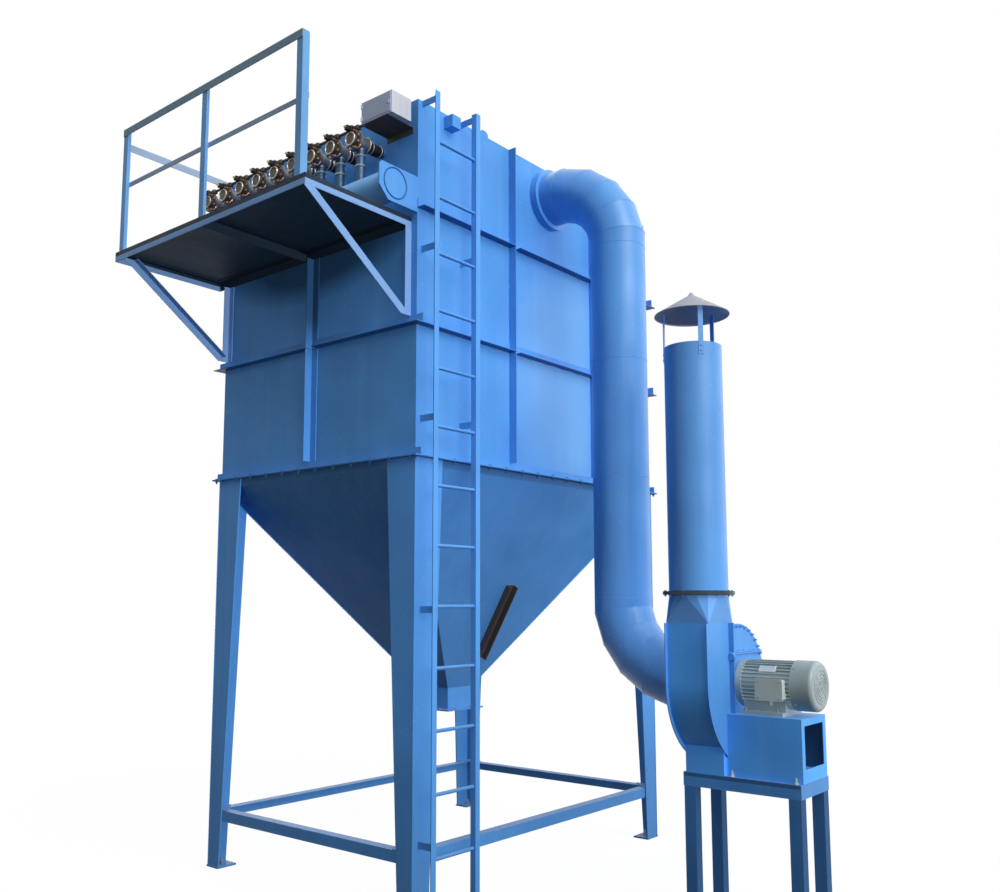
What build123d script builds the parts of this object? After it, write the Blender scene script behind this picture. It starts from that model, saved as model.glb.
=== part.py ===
from build123d import *
from math import cos, radians, sin, sqrt
import os

# Pulse jet bag filter dust collector with its fan and discharge stack, in millimetres.
# +Z is up and the ground is Z = 0. The access platform faces -Y and the fan stands on
# the +X side. Everything is laid out from the middle of the filter housing, and the
# finished set is moved at the end so that the origin lies under the middle of the plant.

# Filter housing, a box of plate on an inverted pyramid hopper
housing_width = 1930.0
housing_depth = 2710.0
joint_level = 2675.0
roof_level = 4920.0
wall_plate = 5.0
weld_gap = 1.0
seat_gap = 0.3
cut_overrun = 20.0

# Angle iron stiffeners on the four walls
rib_leg = 60.0
rib_plate = 6.0
mid_rib_level = 3480.0
upper_rib_level = 4215.0
near_side_rib = -453.0
far_side_rib = 525.0

# Bolted flange between housing and hopper, two angles back to back
flange_leg = 50.0
flange_plate = 5.0

# Hopper, its square dust outlet and the channel that carries a vibrator
spout_width = 265.0
spout_length = 160.0
outlet_level = 1025.0
outlet_flange_width = 390.0
outlet_flange_plate = 10.0
outlet_hole_diameter = 14.0
outlet_hole_spacing = 160.0
channel_width = 90.0
channel_depth = 45.0
channel_length = 610.0
channel_plate = 6.0
channel_foot_offset = 250.0
channel_side_offset = 60.0

# Legs of tapered plate, welded to an L, on foot plates, with tie bars near the ground
leg_plate = 10.0
leg_top_width = 240.0
leg_foot_width = 115.0
leg_foot_depth = 140.0
foot_width = 127.0
foot_depth = 152.0
foot_plate = 12.0
foot_margin = 6.0
anchor_diameter = 22.0
anchor_inset = 55.0
tie_leg = 70.0
tie_plate = 6.0
tie_level = 315.0

# Dust inlet on the hidden left wall
inlet_diameter = 370.0
inlet_length = 150.0
inlet_level = 3050.0
inlet_flange_diameter = 450.0
inlet_flange_plate = 8.0
inlet_hole_diameter = 14.0
inlet_hole_circle_diameter = 415.0
inlet_hole_count = 8
duct_plate = 4.0

# Access platform on the front wall
deck_level = 4165.0
deck_depth = 840.0
deck_left_overhang = 100.0
deck_right_inset = 50.0
deck_plate = 4.0
deck_leg = 60.0
deck_leg_plate = 6.0
bracket_leg = 50.0
bracket_plate = 5.0
bracket_inset = 25.0
brace_reach = 770.0

# Railing of angle iron round the outer edge and the left end
rail_level = 5025.0
rail_leg = 50.0
rail_plate = 5.0
rail_end_inset = 45.0
mid_rail_level = 4635.0
mid_rail_height = 32.0
end_rail_level = 4890.0

# Compressed air header, its two end plates and the pulse valves
header_diameter = 188.0
header_plate = 6.0
header_reach = 192.0
header_level = 4305.0
end_plate = 10.0
end_plate_bottom = 4185.0
end_plate_top = 4410.0
end_plate_reach = 325.0
end_plate_chamfer = 75.0
end_plate_nose = 20.0
valve_count = 9
valve_pitch = 188.0
valve_end_inset = 115.0
valve_level = 4650.0
valve_stub_diameter = 58.0
valve_body_diameter = 96.0
valve_body_length = 80.0
valve_rim_diameter = 132.0
valve_rim_length = 26.0
valve_cap_diameter = 84.0
valve_cap_length = 24.0
pilot_diameter = 34.0
pilot_length = 52.0
blow_pipe_diameter = 56.0

# Control box on its bracket at the right end of the platform
control_width = 270.0
control_height = 140.0
control_depth = 170.0
control_level = 4745.0
control_gap = 60.0
control_edge_radius = 6.0
control_plate = 4.0
control_lip = 40.0

# Ladder on the right wall
ladder_stand_off = 120.0
ladder_first_edge = 9.0
ladder_clear_width = 343.0
ladder_rise = 15.0
stile_size = 40.0
stile_plate = 4.0
rung_diameter = 22.0
rung_pitch = 355.0
first_rung_level = 363.0
stay_height = 40.0
stay_plate = 8.0
foot_stay_level = 410.0
leg_stay_level = 1745.0
lower_wall_stay_level = 2885.0
upper_wall_stay_drop = 980.0
top_stay_drop = 40.0

# Lifting stubs, short square tubes under the roof edge
stub_size = 80.0
stub_length = 75.0
stub_wall = 5.0
stub_offset = 275.0
stub_level = 4812.0

# Clean air duct with mitred bends
duct_diameter = 370.0
duct_level = 4690.0
duct_stand_off = 585.0
bend_radius = 500.0
bend_cuts = 5
collar_diameter = 430.0
collar_plate = 10.0
collar_length = 55.0

# Centrifugal fan
fan_level = 1335.0
fan_inlet_offset = 1110.0
scroll_width = 272.0
scroll_radius = 320.0
near_radius = 460.0
throat_reach = 375.0
throat_inset = 70.0
scroll_plate = 4.0
side_plate = 5.0
side_overhang = 25.0
throat_level = 1687.0
throat_folds = 4
inlet_ring_diameter = 440.0
saddle_plate = 6.0
saddle_inset = 14.0
stiffener_depth = 32.0
stiffener_plate = 6.0
stiffener_offset = 125.0

# Discharge stack and rain cap
stack_diameter = 346.0
stack_flange_level = 1862.0
stack_flange_diameter = 420.0
stack_flange_plate = 10.0
stack_top = 3350.0
stack_plate = 3.0
cap_diameter = 450.0
cap_rim_level = 3555.0
cap_height = 135.0
cap_plate = 3.0
strut_width = 30.0
strut_plate = 5.0
strut_overlap = 80.0
strut_count = 3
strut_first_turn = -46.0

# Electric motor
motor_gap = 34.0
motor_body_diameter = 250.0
motor_fin_diameter = 278.0
motor_fin_count = 36
motor_fin_plate = 5.0
motor_shield_diameter = 272.0
motor_shield_length = 36.0
motor_body_length = 329.0
motor_shaft_diameter = 48.0
motor_cowl_diameter = 286.0
motor_cowl_length = 130.0
motor_cowl_radius = 24.0
motor_foot_width = 270.0
motor_foot_length = 250.0
motor_foot_plate = 22.0
motor_height = 170.0
terminal_width = 150.0
terminal_height = 112.0
terminal_depth = 42.0
terminal_lid = 12.0
terminal_overlap = 30.0
terminal_offset = 156.0
terminal_drop = 18.0
terminal_radius = 10.0

# Motor pedestal, fan base frame and its posts
pedestal_length = 443.0
pedestal_width = 350.0
pedestal_plate = 6.0
pedestal_lip = 40.0
plinth_height = 35.0
plinth_inset = 20.0
base_level = 815.0
base_height = 80.0
base_flange = 55.0
base_plate = 8.0
base_length = 707.0
base_width = 400.0
post_size = 70.0
post_wall = 5.0

half_width = housing_width / 2
half_depth = housing_depth / 2


def block(x0, x1, y0, y1, z0, z1):
    """A rectangular plate or bar between two corners."""
    middle = ((x0 + x1) / 2, (y0 + y1) / 2, (z0 + z1) / 2)
    return Pos(*middle) * Box(abs(x1 - x0), abs(y1 - y0), abs(z1 - z0))


def angle_iron(start, end, leg_one, leg_two, leg, plate):
    """Equal angle from start to end with its heel on that line and its legs as given."""
    run = Vector(*end) - Vector(*start)
    first = Vector(*leg_one)
    second = Vector(*leg_two)
    if first.cross(second).dot(run) < 0:
        first, second = second, first
    outline = Polyline(
        (0, 0), (leg, 0), (leg, plate), (plate, plate), (plate, leg), (0, leg), close=True
    )
    bar = extrude(make_face(outline), amount=run.length)
    return Plane(origin=start, x_dir=first, z_dir=run) * bar


def flat_bar(points, plane, thickness):
    """A flat plate of the given outline, drawn on a plane and thickened along its normal."""
    return extrude(plane * make_face(Polyline(*points, close=True)), amount=thickness)


def tube(diameter, plate, length):
    """A round tube standing on its plane."""
    ring = Circle(diameter / 2) - Circle(diameter / 2 - plate)
    return extrude(ring, amount=length)


def flat_faced(outlines):
    """A solid closed by flat faces, each given by its corners."""
    return Solid(Shell([Face(Wire.make_polygon(outline)) for outline in outlines]))


def on_both_sides(solid):
    return [solid, mirror(solid, about=Plane.YZ)]


def on_both_ends(solid):
    return [solid, mirror(solid, about=Plane.XZ)]


# Legs: two tapered plates welded along the outer corner, standing on a foot plate
leg_top = joint_level - flange_plate


def front_right_leg():
    outer_x = half_width + leg_plate
    outer_y = -half_depth - leg_plate
    side_outline = [
        (outer_y, foot_plate),
        (outer_y + leg_foot_depth, foot_plate),
        (outer_y + leg_top_width, leg_top),
        (outer_y, leg_top),
    ]
    front_outline = [
        (outer_x, foot_plate),
        (outer_x - leg_foot_width, foot_plate),
        (outer_x - leg_top_width, leg_top),
        (outer_x, leg_top),
    ]
    side = Pos(half_width, 0, 0) * flat_bar(side_outline, Plane.YZ, leg_plate)
    front = Pos(0, -half_depth, 0) * flat_bar(front_outline, Plane.XZ, leg_plate)
    edge_x = outer_x + foot_margin
    edge_y = outer_y - foot_margin
    foot = block(edge_x - foot_width, edge_x, edge_y, edge_y + foot_depth, 0, foot_plate)
    hole = Pos(half_width - anchor_inset, -half_depth + anchor_inset, 0)
    foot -= hole * Cylinder(anchor_diameter / 2, foot_plate + cut_overrun * 2)
    return side + front + foot


def tie_bars():
    level = tie_level + tie_leg
    front = angle_iron(
        (-half_width, -half_depth, level), (half_width, -half_depth, level),
        (0, 1, 0), (0, 0, -1), tie_leg, tie_plate,
    )
    side_end = half_depth - tie_leg - weld_gap
    side = angle_iron(
        (half_width, -side_end, level), (half_width, side_end, level),
        (-1, 0, 0), (0, 0, -1), tie_leg, tie_plate,
    )
    return on_both_ends(front) + on_both_sides(side)


# Hopper: four mitred plates from the joint skirt down to the square spout
hopper_top = joint_level - flange_leg
spout_top = outlet_level + spout_length
spout_half = spout_width / 2


def hopper_corner(side_x, side_y, inward):
    top = (side_x * (half_width - inward), side_y * (half_depth - inward), hopper_top)
    low = (side_x * (spout_half - inward), side_y * (spout_half - inward), spout_top)
    return top, low


def hopper_plate(first, second):
    """One plate between two corners, each given by its two signs."""
    corners = [
        hopper_corner(*first, 0), hopper_corner(*second, 0),
        hopper_corner(*second, wall_plate), hopper_corner(*first, wall_plate),
    ]
    outlines = [[top for top, low in corners], [low for top, low in corners]]
    for step, (top, low) in enumerate(corners):
        before_top, before_low = corners[step - 1]
        outlines.append([before_top, top, low, before_low])
    return flat_faced(outlines)


def outlet_spout():
    pipe = block(-spout_half, spout_half, -spout_half, spout_half, outlet_level, spout_top)
    rim = outlet_flange_width / 2
    flange = block(-rim, rim, -rim, rim, outlet_level, outlet_level + outlet_flange_plate)
    clear = spout_half - wall_plate
    bore = block(
        -clear, clear, -clear, clear, outlet_level - cut_overrun, spout_top + cut_overrun
    )
    spout = pipe + flange - bore
    line = (rim + spout_half) / 2
    for near in (-outlet_hole_spacing / 2, outlet_hole_spacing / 2):
        for far in (-line, line):
            hole = Cylinder(outlet_hole_diameter / 2, outlet_flange_plate + cut_overrun * 2)
            spout -= Pos(near, far, outlet_level) * hole
            spout -= Pos(far, near, outlet_level) * hole
    return spout


def vibrator_channel():
    """Open channel welded down the right hopper plate, a little off its middle."""
    slope = Vector(half_width - spout_half, 0, hopper_top - spout_top).normalized()
    outward = Vector(slope.Z, 0, -slope.X)
    foot = Vector(spout_half, channel_side_offset, spout_top) + slope * channel_foot_offset
    section = block(
        0, channel_length, -channel_width / 2, channel_width / 2, 0, channel_depth
    )
    inside = channel_width / 2 - channel_plate
    section -= block(
        -cut_overrun, channel_length + cut_overrun, -inside, inside,
        channel_plate, channel_depth + cut_overrun,
    )
    return Plane(origin=foot, x_dir=slope, z_dir=outward) * section


# Bolted joint: the hopper angle below the joint plane, the housing angle above it
def hopper_flange():
    long_end = half_width + flange_leg
    front = angle_iron(
        (-long_end, -half_depth + flange_plate, joint_level),
        (long_end, -half_depth + flange_plate, joint_level),
        (0, -1, 0), (0, 0, -1), flange_leg + flange_plate, flange_plate,
    )
    front = front & block(
        -long_end, long_end, -half_depth - flange_leg, -half_depth + flange_plate,
        hopper_top, joint_level,
    )
    for side in (-1, 1):
        front -= block(
            side * half_width, side * (long_end + cut_overrun),
            -half_depth, -half_depth + flange_plate + cut_overrun,
            hopper_top - cut_overrun, joint_level - flange_plate,
        )
    side_end = half_depth - flange_plate - weld_gap
    side = angle_iron(
        (half_width - flange_plate, -side_end, joint_level),
        (half_width - flange_plate, side_end, joint_level),
        (1, 0, 0), (0, 0, -1), flange_leg + flange_plate, flange_plate,
    )
    side = side & block(
        half_width - flange_plate, half_width + flange_leg, -side_end, side_end,
        hopper_top, joint_level,
    )
    return on_both_ends(front) + on_both_sides(side)


def housing_flange():
    long_end = half_width + flange_leg
    front = angle_iron(
        (-long_end, -half_depth, joint_level), (long_end, -half_depth, joint_level),
        (0, -1, 0), (0, 0, 1), flange_leg, flange_plate,
    )
    side_end = half_depth - weld_gap
    side = angle_iron(
        (half_width, -side_end, joint_level), (half_width, side_end, joint_level),
        (1, 0, 0), (0, 0, 1), flange_leg, flange_plate,
    )
    return on_both_ends(front) + on_both_sides(side)


# Housing walls and roof
wall_top = roof_level - wall_plate


def end_wall(side):
    return block(
        -half_width, half_width, side * half_depth, side * (half_depth - wall_plate),
        joint_level, wall_top,
    )


def side_wall(side, hole_diameter, hole_level):
    inner = half_depth - wall_plate
    wall = block(
        side * half_width, side * (half_width - wall_plate), -inner, inner,
        joint_level, wall_top,
    )
    hole = Cylinder(hole_diameter / 2, wall_plate + cut_overrun * 2)
    return wall - Pos(side * half_width, 0, hole_level) * Rot(0, 90, 0) * hole


def roof():
    return block(-half_width, half_width, -half_depth, half_depth, wall_top, roof_level)


# Stiffening angles: uprights run from the flange to the roof, level bars butt against them
rib_foot = joint_level + flange_leg


def level_bars(first, last, uprights):
    """Stretches of a level bar between the uprights that it meets."""
    stretches = []
    begin = first
    for upright in uprights:
        stretches.append((begin, upright - weld_gap))
        begin = upright + rib_leg + weld_gap
    stretches.append((begin, last))
    return stretches


def side_ribs():
    uprights = (near_side_rib, far_side_rib)
    ribs = []
    for place in uprights:
        ribs.append(angle_iron(
            (half_width, place, rib_foot), (half_width, place, roof_level),
            (1, 0, 0), (0, 1, 0), rib_leg, rib_plate,
        ))
    for level in (mid_rib_level, upper_rib_level):
        for begin, finish in level_bars(-half_depth, half_depth, uprights):
            ribs.append(angle_iron(
                (half_width, begin, level), (half_width, finish, level),
                (1, 0, 0), (0, 0, 1), rib_leg, rib_plate,
            ))
    return [both for rib in ribs for both in on_both_sides(rib)]


def end_ribs(side, levels, top):
    ribs = [angle_iron(
        (0, side * half_depth, rib_foot), (0, side * half_depth, top),
        (1, 0, 0), (0, side, 0), rib_leg, rib_plate,
    )]
    end = half_width + rib_leg
    for level in levels:
        for begin, finish in level_bars(-end, end, (0,)):
            ribs.append(angle_iron(
                (begin, side * half_depth, level), (finish, side * half_depth, level),
                (0, side, 0), (0, 0, 1), rib_leg, rib_plate,
            ))
    return ribs


def dust_inlet():
    spigot = tube(inlet_diameter, duct_plate, inlet_length)
    flange = tube(inlet_flange_diameter, (inlet_flange_diameter - inlet_diameter) / 2
                  + duct_plate, inlet_flange_plate)
    flange = Pos(0, 0, inlet_length - inlet_flange_plate) * flange
    holes = PolarLocations(inlet_hole_circle_diameter / 2, inlet_hole_count)
    hole = Cylinder(inlet_hole_diameter / 2, inlet_length * 2 + cut_overrun)
    spigot = spigot + flange
    for place in holes:
        spigot -= place * hole
    return Pos(-half_width, 0, inlet_level) * Rot(0, -90, 0) * spigot


# Platform: plate on an angle frame, carried by two wall brackets with diagonal braces
deck_edge = -half_depth - deck_depth
deck_left = -half_width - deck_left_overhang
deck_right = half_width - deck_right_inset
deck_middle = (deck_left + deck_right) / 2
bracket_foot_level = mid_rib_level + rib_leg
frame_top = deck_level - deck_plate
frame_foot = frame_top - deck_leg


def deck():
    return block(deck_left, deck_right, deck_edge, -half_depth, frame_top, deck_level)


def deck_frame():
    outer = angle_iron(
        (deck_left, deck_edge, frame_top), (deck_right, deck_edge, frame_top),
        (0, 1, 0), (0, 0, -1), deck_leg, deck_leg_plate,
    )
    inner = angle_iron(
        (deck_left, -half_depth, frame_top), (deck_right, -half_depth, frame_top),
        (0, -1, 0), (0, 0, -1), deck_leg, deck_leg_plate,
    )
    begin = deck_edge + deck_leg_plate + weld_gap
    finish = -half_depth - deck_leg_plate - weld_gap
    bars = [block(
        deck_middle - deck_leg_plate / 2, deck_middle + deck_leg_plate / 2, begin, finish,
        frame_foot, frame_top,
    )]
    for edge, inward in ((deck_left, 1), (deck_right, -1)):
        bars.append(angle_iron(
            (edge, begin, frame_top), (edge, finish, frame_top),
            (inward, 0, 0), (0, 0, -1), deck_leg, deck_leg_plate,
        ))
    cope = frame_top - deck_leg_plate - weld_gap
    for low, high in ((deck_edge, deck_edge + deck_leg), (-half_depth - deck_leg, -half_depth)):
        notch = block(
            deck_left - cut_overrun, deck_right + cut_overrun,
            low - weld_gap, high + weld_gap, cope, frame_top + cut_overrun,
        )
        bars = [bar - notch for bar in bars]
    return [outer, inner] + bars


def platform_brackets():
    brackets = []
    for place, inward in ((-half_width + bracket_inset, 1), (deck_right, -1)):
        brackets.append(angle_iron(
            (place, -half_depth, bracket_foot_level), (place, -half_depth, frame_foot),
            (inward, 0, 0), (0, -1, 0), bracket_leg, bracket_plate,
        ))
        front = -half_depth - bracket_leg - weld_gap
        foot = Vector(place, -half_depth, bracket_foot_level)
        head = Vector(place, -half_depth - brace_reach, frame_foot)
        run = (head - foot).normalized()
        square = Vector(0, -run.Z, run.Y)
        brace = angle_iron(
            tuple(foot - run * bracket_leg), tuple(head + run * bracket_leg * 2),
            (inward, 0, 0), tuple(square), bracket_leg, bracket_plate,
        )
        brackets.append(brace & block(
            place, place + inward * bracket_leg, deck_edge, front, bracket_foot_level, frame_foot
        ))
    return brackets


rail_left = deck_left + rail_end_inset
rail_right = deck_right - rail_end_inset


def railing_posts():
    posts = []
    for place, inward in ((rail_left, 1), (deck_middle - rail_leg / 2, 1), (rail_right, -1)):
        posts.append(angle_iron(
            (place, deck_edge, deck_level), (place, deck_edge, rail_level - rail_plate),
            (inward, 0, 0), (0, 1, 0), rail_leg, rail_plate,
        ))
    return posts


def railing_bars():
    top_y = deck_edge - rail_plate
    top = angle_iron(
        (rail_left, top_y, rail_level), (rail_right, top_y, rail_level),
        (0, 1, 0), (0, 0, -1), rail_leg, rail_plate,
    )
    inner = deck_edge + rail_leg
    middle = block(
        rail_left, rail_right, inner, inner + rail_plate,
        mid_rail_level, mid_rail_level + mid_rail_height,
    )
    end_top = end_rail_level + rail_leg
    end_x = rail_left + rail_plate
    end = angle_iron(
        (end_x, inner, end_top), (end_x, -half_depth, end_top),
        (-1, 0, 0), (0, 0, -1), rail_leg, rail_plate,
    )
    return [top, middle, end]


# Compressed air header between two end plates, with a row of right angle pulse valves
header_y = -half_depth - header_reach
header_end = half_width - end_plate


def header_tank():
    shell = tube(header_diameter, header_plate, header_end * 2)
    return Pos(-header_end, header_y, header_level) * Rot(0, 90, 0) * shell


def header_end_plates():
    reach = -half_depth - end_plate_reach
    outline = [
        (-half_depth, end_plate_bottom),
        (reach + end_plate_chamfer, end_plate_bottom),
        (reach, end_plate_bottom + end_plate_chamfer),
        (reach, end_plate_top - end_plate_nose),
        (reach + end_plate_nose, end_plate_top),
        (-half_depth, end_plate_top),
    ]
    plate = Pos(header_end, 0, 0) * flat_bar(outline, Plane.YZ, end_plate)
    return on_both_sides(plate)


def valve_places():
    first = -half_width + valve_end_inset
    return [first + step * valve_pitch for step in range(valve_count)]


def disc(diameter, length):
    """A round boss that reaches from its plane towards the platform."""
    return extrude(Plane.XZ * Circle(diameter / 2), amount=length)


def pulse_valve():
    back = valve_body_length / 2
    body = Pos(0, back, 0) * disc(valve_body_diameter, valve_body_length)
    rim = Pos(0, -back, 0) * disc(valve_rim_diameter, valve_rim_length)
    cap = Pos(0, -back - valve_rim_length, 0) * disc(valve_cap_diameter, valve_cap_length)
    pilot_y = -back - valve_rim_length - valve_cap_length / 2
    pilot = Pos(0, pilot_y, valve_cap_diameter / 2 - valve_cap_length / 2)
    pilot = pilot * extrude(Circle(pilot_diameter / 2), amount=pilot_length)
    stub = Pos(0, 0, header_level - valve_level)
    stub = stub * extrude(Circle(valve_stub_diameter / 2), amount=valve_level - header_level)
    drum = Rot(0, 90, 0) * Cylinder(header_diameter / 2 + seat_gap, valve_rim_diameter * 2)
    stub -= Pos(0, 0, header_level - valve_level) * drum
    return body + rim + cap + pilot + stub


def pulse_valves():
    valve = pulse_valve()
    return [Pos(place, header_y, valve_level) * valve for place in valve_places()]


def blow_pipes():
    length = header_reach - valve_body_length / 2
    pipe = disc(blow_pipe_diameter, length)
    return [Pos(place, -half_depth, valve_level) * pipe for place in valve_places()]


def control_box():
    right = half_width
    front = -half_depth - control_gap - control_depth
    case = block(
        right - control_width, right, front, front + control_depth,
        control_level, control_level + control_height,
    )
    return fillet(case.edges().filter_by(Axis.Z), control_edge_radius)


def control_bracket():
    right = half_width - control_lip
    left = half_width - control_width
    shelf = block(
        left, right, -half_depth - control_gap - control_depth, -half_depth,
        control_level - control_plate, control_level,
    )
    back = block(
        left, right, -half_depth - control_plate, -half_depth,
        control_level - control_lip, control_level,
    )
    return shelf + back


# Ladder beside the front corner of the right wall
rung_plane = half_width + ladder_stand_off
near_stile = -half_depth + ladder_first_edge
far_stile = near_stile + stile_size + ladder_clear_width
ladder_top = roof_level + ladder_rise
rung_count = int((ladder_top - first_rung_level) / rung_pitch) + 1


def ladder_stiles():
    stiles = []
    outer = rung_plane + stile_size / 2
    for heel, outward in ((near_stile + stile_size, -1), (far_stile, 1)):
        stiles.append(angle_iron(
            (outer, heel, 0), (outer, heel, ladder_top),
            (-1, 0, 0), (0, outward, 0), stile_size, stile_plate,
        ))
    return stiles


def ladder_rungs():
    rung = extrude(Plane.XZ * Circle(rung_diameter / 2), amount=-ladder_clear_width)
    rungs = []
    for step in range(rung_count):
        level = first_rung_level + step * rung_pitch
        rungs.append(Pos(rung_plane, near_stile + stile_size, level) * rung)
    return rungs


def ladder_stays():
    """Flat stays from the leg or wall to the inside of each stile."""
    stays = []
    reach = rung_plane + stile_size / 2 - stile_plate
    near_edge = near_stile + stile_size - stile_plate - stay_plate
    far_edge = far_stile + stile_plate
    leg_levels = (foot_stay_level, leg_stay_level)
    wall_levels = (
        lower_wall_stay_level, roof_level - upper_wall_stay_drop, roof_level - top_stay_drop,
    )
    for edge, levels in ((near_edge, leg_levels + wall_levels), (far_edge, wall_levels)):
        for level in levels:
            seat = half_width + leg_plate if level < hopper_top else half_width
            stays.append(block(
                seat, reach, edge, edge + stay_plate, level, level + stay_height
            ))
    return stays


def lifting_stubs():
    clear = stub_size - stub_wall * 2
    stub = extrude(Plane.YZ * Rectangle(stub_size, stub_size), amount=stub_length)
    stub -= extrude(Plane.YZ * Rectangle(clear, clear), amount=stub_length - stub_wall)
    stubs = []
    for end in (-1, 1):
        centre = Pos(half_width, end * (half_depth - stub_offset), stub_level + stub_size / 2)
        stubs += on_both_sides(centre * stub)
    return stubs


# Clean air duct: mitred bends above and below a plain riser
riser_x = half_width + duct_stand_off
fan_inlet_x = half_width + fan_inlet_offset


def bend_points(centre_x, centre_z, start_angle, turn):
    """Corners of a mitred bend that stands on the arc of the bend radius."""
    step = turn / bend_cuts
    reach = bend_radius / cos(radians(step / 2))
    corners = []
    for cut in range(bend_cuts):
        angle = radians(start_angle + step * cut + step / 2)
        corners.append((centre_x + reach * cos(angle), 0, centre_z + reach * sin(angle)))
    return corners


def mitred_duct(points, along):
    ring = Circle(duct_diameter / 2) - Circle(duct_diameter / 2 - duct_plate)
    start = Plane(origin=points[0], z_dir=along) * ring
    return sweep(start, path=Polyline(*points), transition=Transition.RIGHT)


def ring_plate(diameter, thickness):
    return extrude(Circle(diameter / 2) - Circle(duct_diameter / 2 - duct_plate), thickness)


upper_bend_end = duct_level - bend_radius
lower_bend_start = fan_level + bend_radius


def upper_bend():
    points = [(half_width, 0, duct_level)]
    points += bend_points(riser_x - bend_radius, upper_bend_end, 90, -90)
    points.append((riser_x, 0, upper_bend_end))
    collar = Plane(origin=points[0], z_dir=(1, 0, 0)) * ring_plate(collar_diameter, collar_length)
    return mitred_duct(points, (1, 0, 0)) + collar


def riser():
    pipe = tube(duct_diameter, duct_plate, upper_bend_end - lower_bend_start)
    return Pos(riser_x, 0, lower_bend_start) * pipe


def lower_bend():
    points = [(riser_x, 0, lower_bend_start)]
    points += bend_points(riser_x + bend_radius, lower_bend_start, 180, 90)
    points.append((fan_inlet_x, 0, fan_level))
    ring = Plane(origin=points[-1], z_dir=(-1, 0, 0))
    return mitred_duct(points, (0, 0, -1)) + ring * ring_plate(inlet_ring_diameter, collar_plate)


# Fan: a scroll drawn with three arcs, closed by two side plates
scroll_x = fan_inlet_x + side_plate
scroll_inner_width = scroll_width - side_plate * 2
drive_x = fan_inlet_x + scroll_width
pedestal_top = fan_level - motor_height


def scroll_outline(grow, throat_top):
    """Scroll and throat seen along X, with the wheel axis at zero and the throat upwards.

    The outline is pushed outwards by grow and its throat ends at the given level.
    """
    middle = near_radius - throat_reach
    far_radius = scroll_radius - middle
    rise = near_radius - far_radius
    diagonal = sin(radians(45))
    near_y = -throat_reach - grow
    first = near_radius + grow
    second = far_radius + grow
    third = scroll_radius + grow
    inner_y = grow - throat_inset
    throat = throat_top - fan_level
    near = (near_y, 0)
    low = (middle, -first)
    far_low = (third, -rise)
    far = (third, 0)
    tongue = (inner_y, sqrt(third ** 2 - inner_y ** 2))
    outline = [
        Line((near_y, throat), near),
        ThreePointArc(near, (middle - first * diagonal, -first * diagonal), low),
        ThreePointArc(low, (middle + second * diagonal, -rise - second * diagonal), far_low),
        Line(far_low, far),
        ThreePointArc(far, (third * diagonal, third * diagonal), tongue),
        Line(tongue, (inner_y, throat)),
        Line((inner_y, throat), (near_y, throat)),
    ]
    return make_face(outline)


def along_fan(sketch, start_x, length):
    return Pos(start_x, 0, fan_level) * extrude(Plane.YZ * sketch, amount=length)


def fan_scroll():
    outer = scroll_outline(0, throat_level)
    inner = scroll_outline(-scroll_plate, throat_level + cut_overrun)
    return along_fan(outer - inner, scroll_x, scroll_inner_width)


def fan_side_plates():
    """Inlet plate with its round hole, and drive plate with an upright stiffening bar."""
    outline = scroll_outline(side_overhang, throat_level)
    inlet = outline - Circle(duct_diameter / 2 - duct_plate)
    drive = outline - Circle(motor_shaft_diameter / 2 + seat_gap)
    bar = block(
        drive_x - side_plate, drive_x + stiffener_depth,
        -stiffener_offset, stiffener_plate - stiffener_offset, pedestal_top, throat_level,
    )
    drive = along_fan(drive, drive_x - side_plate, side_plate) + bar
    return [along_fan(inlet, fan_inlet_x, side_plate), drive]


def fan_saddle():
    """Open topped box of plate, cut to the curve of the scroll that it carries."""
    half = base_width / 2
    top = fan_level - scroll_radius / 2
    begin = fan_inlet_x + saddle_inset
    end = drive_x - saddle_inset
    foot = block(begin, end, -half, half, base_level, top)
    inner = half - saddle_plate
    foot -= block(
        begin + saddle_plate, end - saddle_plate, -inner, inner,
        base_level - cut_overrun, top + cut_overrun,
    )
    keep_out = scroll_outline(side_overhang + seat_gap, throat_level)
    return foot - along_fan(keep_out, fan_inlet_x - cut_overrun, scroll_width + cut_overrun * 2)


# Throat transition, stack and rain cap
stack_x = fan_inlet_x + scroll_width / 2
stack_y = -(throat_reach + throat_inset) / 2
transition_top = stack_flange_level - stack_flange_plate


def throat_body(inward):
    """Square to round body, folded like sheet: a flat triangle a side, a fan at each corner."""
    half_x = scroll_width / 2 - inward
    half_y = (throat_reach - throat_inset) / 2 - inward
    reach = stack_diameter / 2 - inward
    rim = []
    for step in range(throat_folds * 4):
        angle = radians(step * 90 / throat_folds)
        rim.append((reach * cos(angle), reach * sin(angle), transition_top))
    corners = []
    for sign_x, sign_y in ((1, 1), (-1, 1), (-1, -1), (1, -1)):
        corners.append((sign_x * half_x, sign_y * half_y, throat_level))
    outlines = [corners, rim]
    for quarter, corner in enumerate(corners):
        first = quarter * throat_folds
        outlines.append([corners[quarter - 1], rim[first], corner])
        for step in range(first, first + throat_folds):
            outlines.append([corner, rim[step], rim[(step + 1) % len(rim)]])
    return Pos(stack_x, stack_y, 0) * flat_faced(outlines)


def stack_ring():
    ring = Circle(stack_flange_diameter / 2) - Circle(stack_diameter / 2 - stack_plate)
    return extrude(ring, amount=stack_flange_plate)


def throat_transition():
    ring = Pos(stack_x, stack_y, transition_top) * stack_ring()
    return throat_body(0) - throat_body(stack_plate) + ring


def stack():
    pipe = tube(stack_diameter, stack_plate, stack_top - stack_flange_level)
    return Pos(stack_x, stack_y, stack_flange_level) * (pipe + stack_ring())


def cone_profile(drop):
    """Half section of the space above a cone, lowered by the given drop."""
    rim = cap_diameter / 2
    return [
        (0, cap_rim_level + cap_height - drop),
        (rim, cap_rim_level - drop),
        (rim, cap_rim_level + cap_height + cut_overrun),
        (0, cap_rim_level + cap_height + cut_overrun),
    ]


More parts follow.
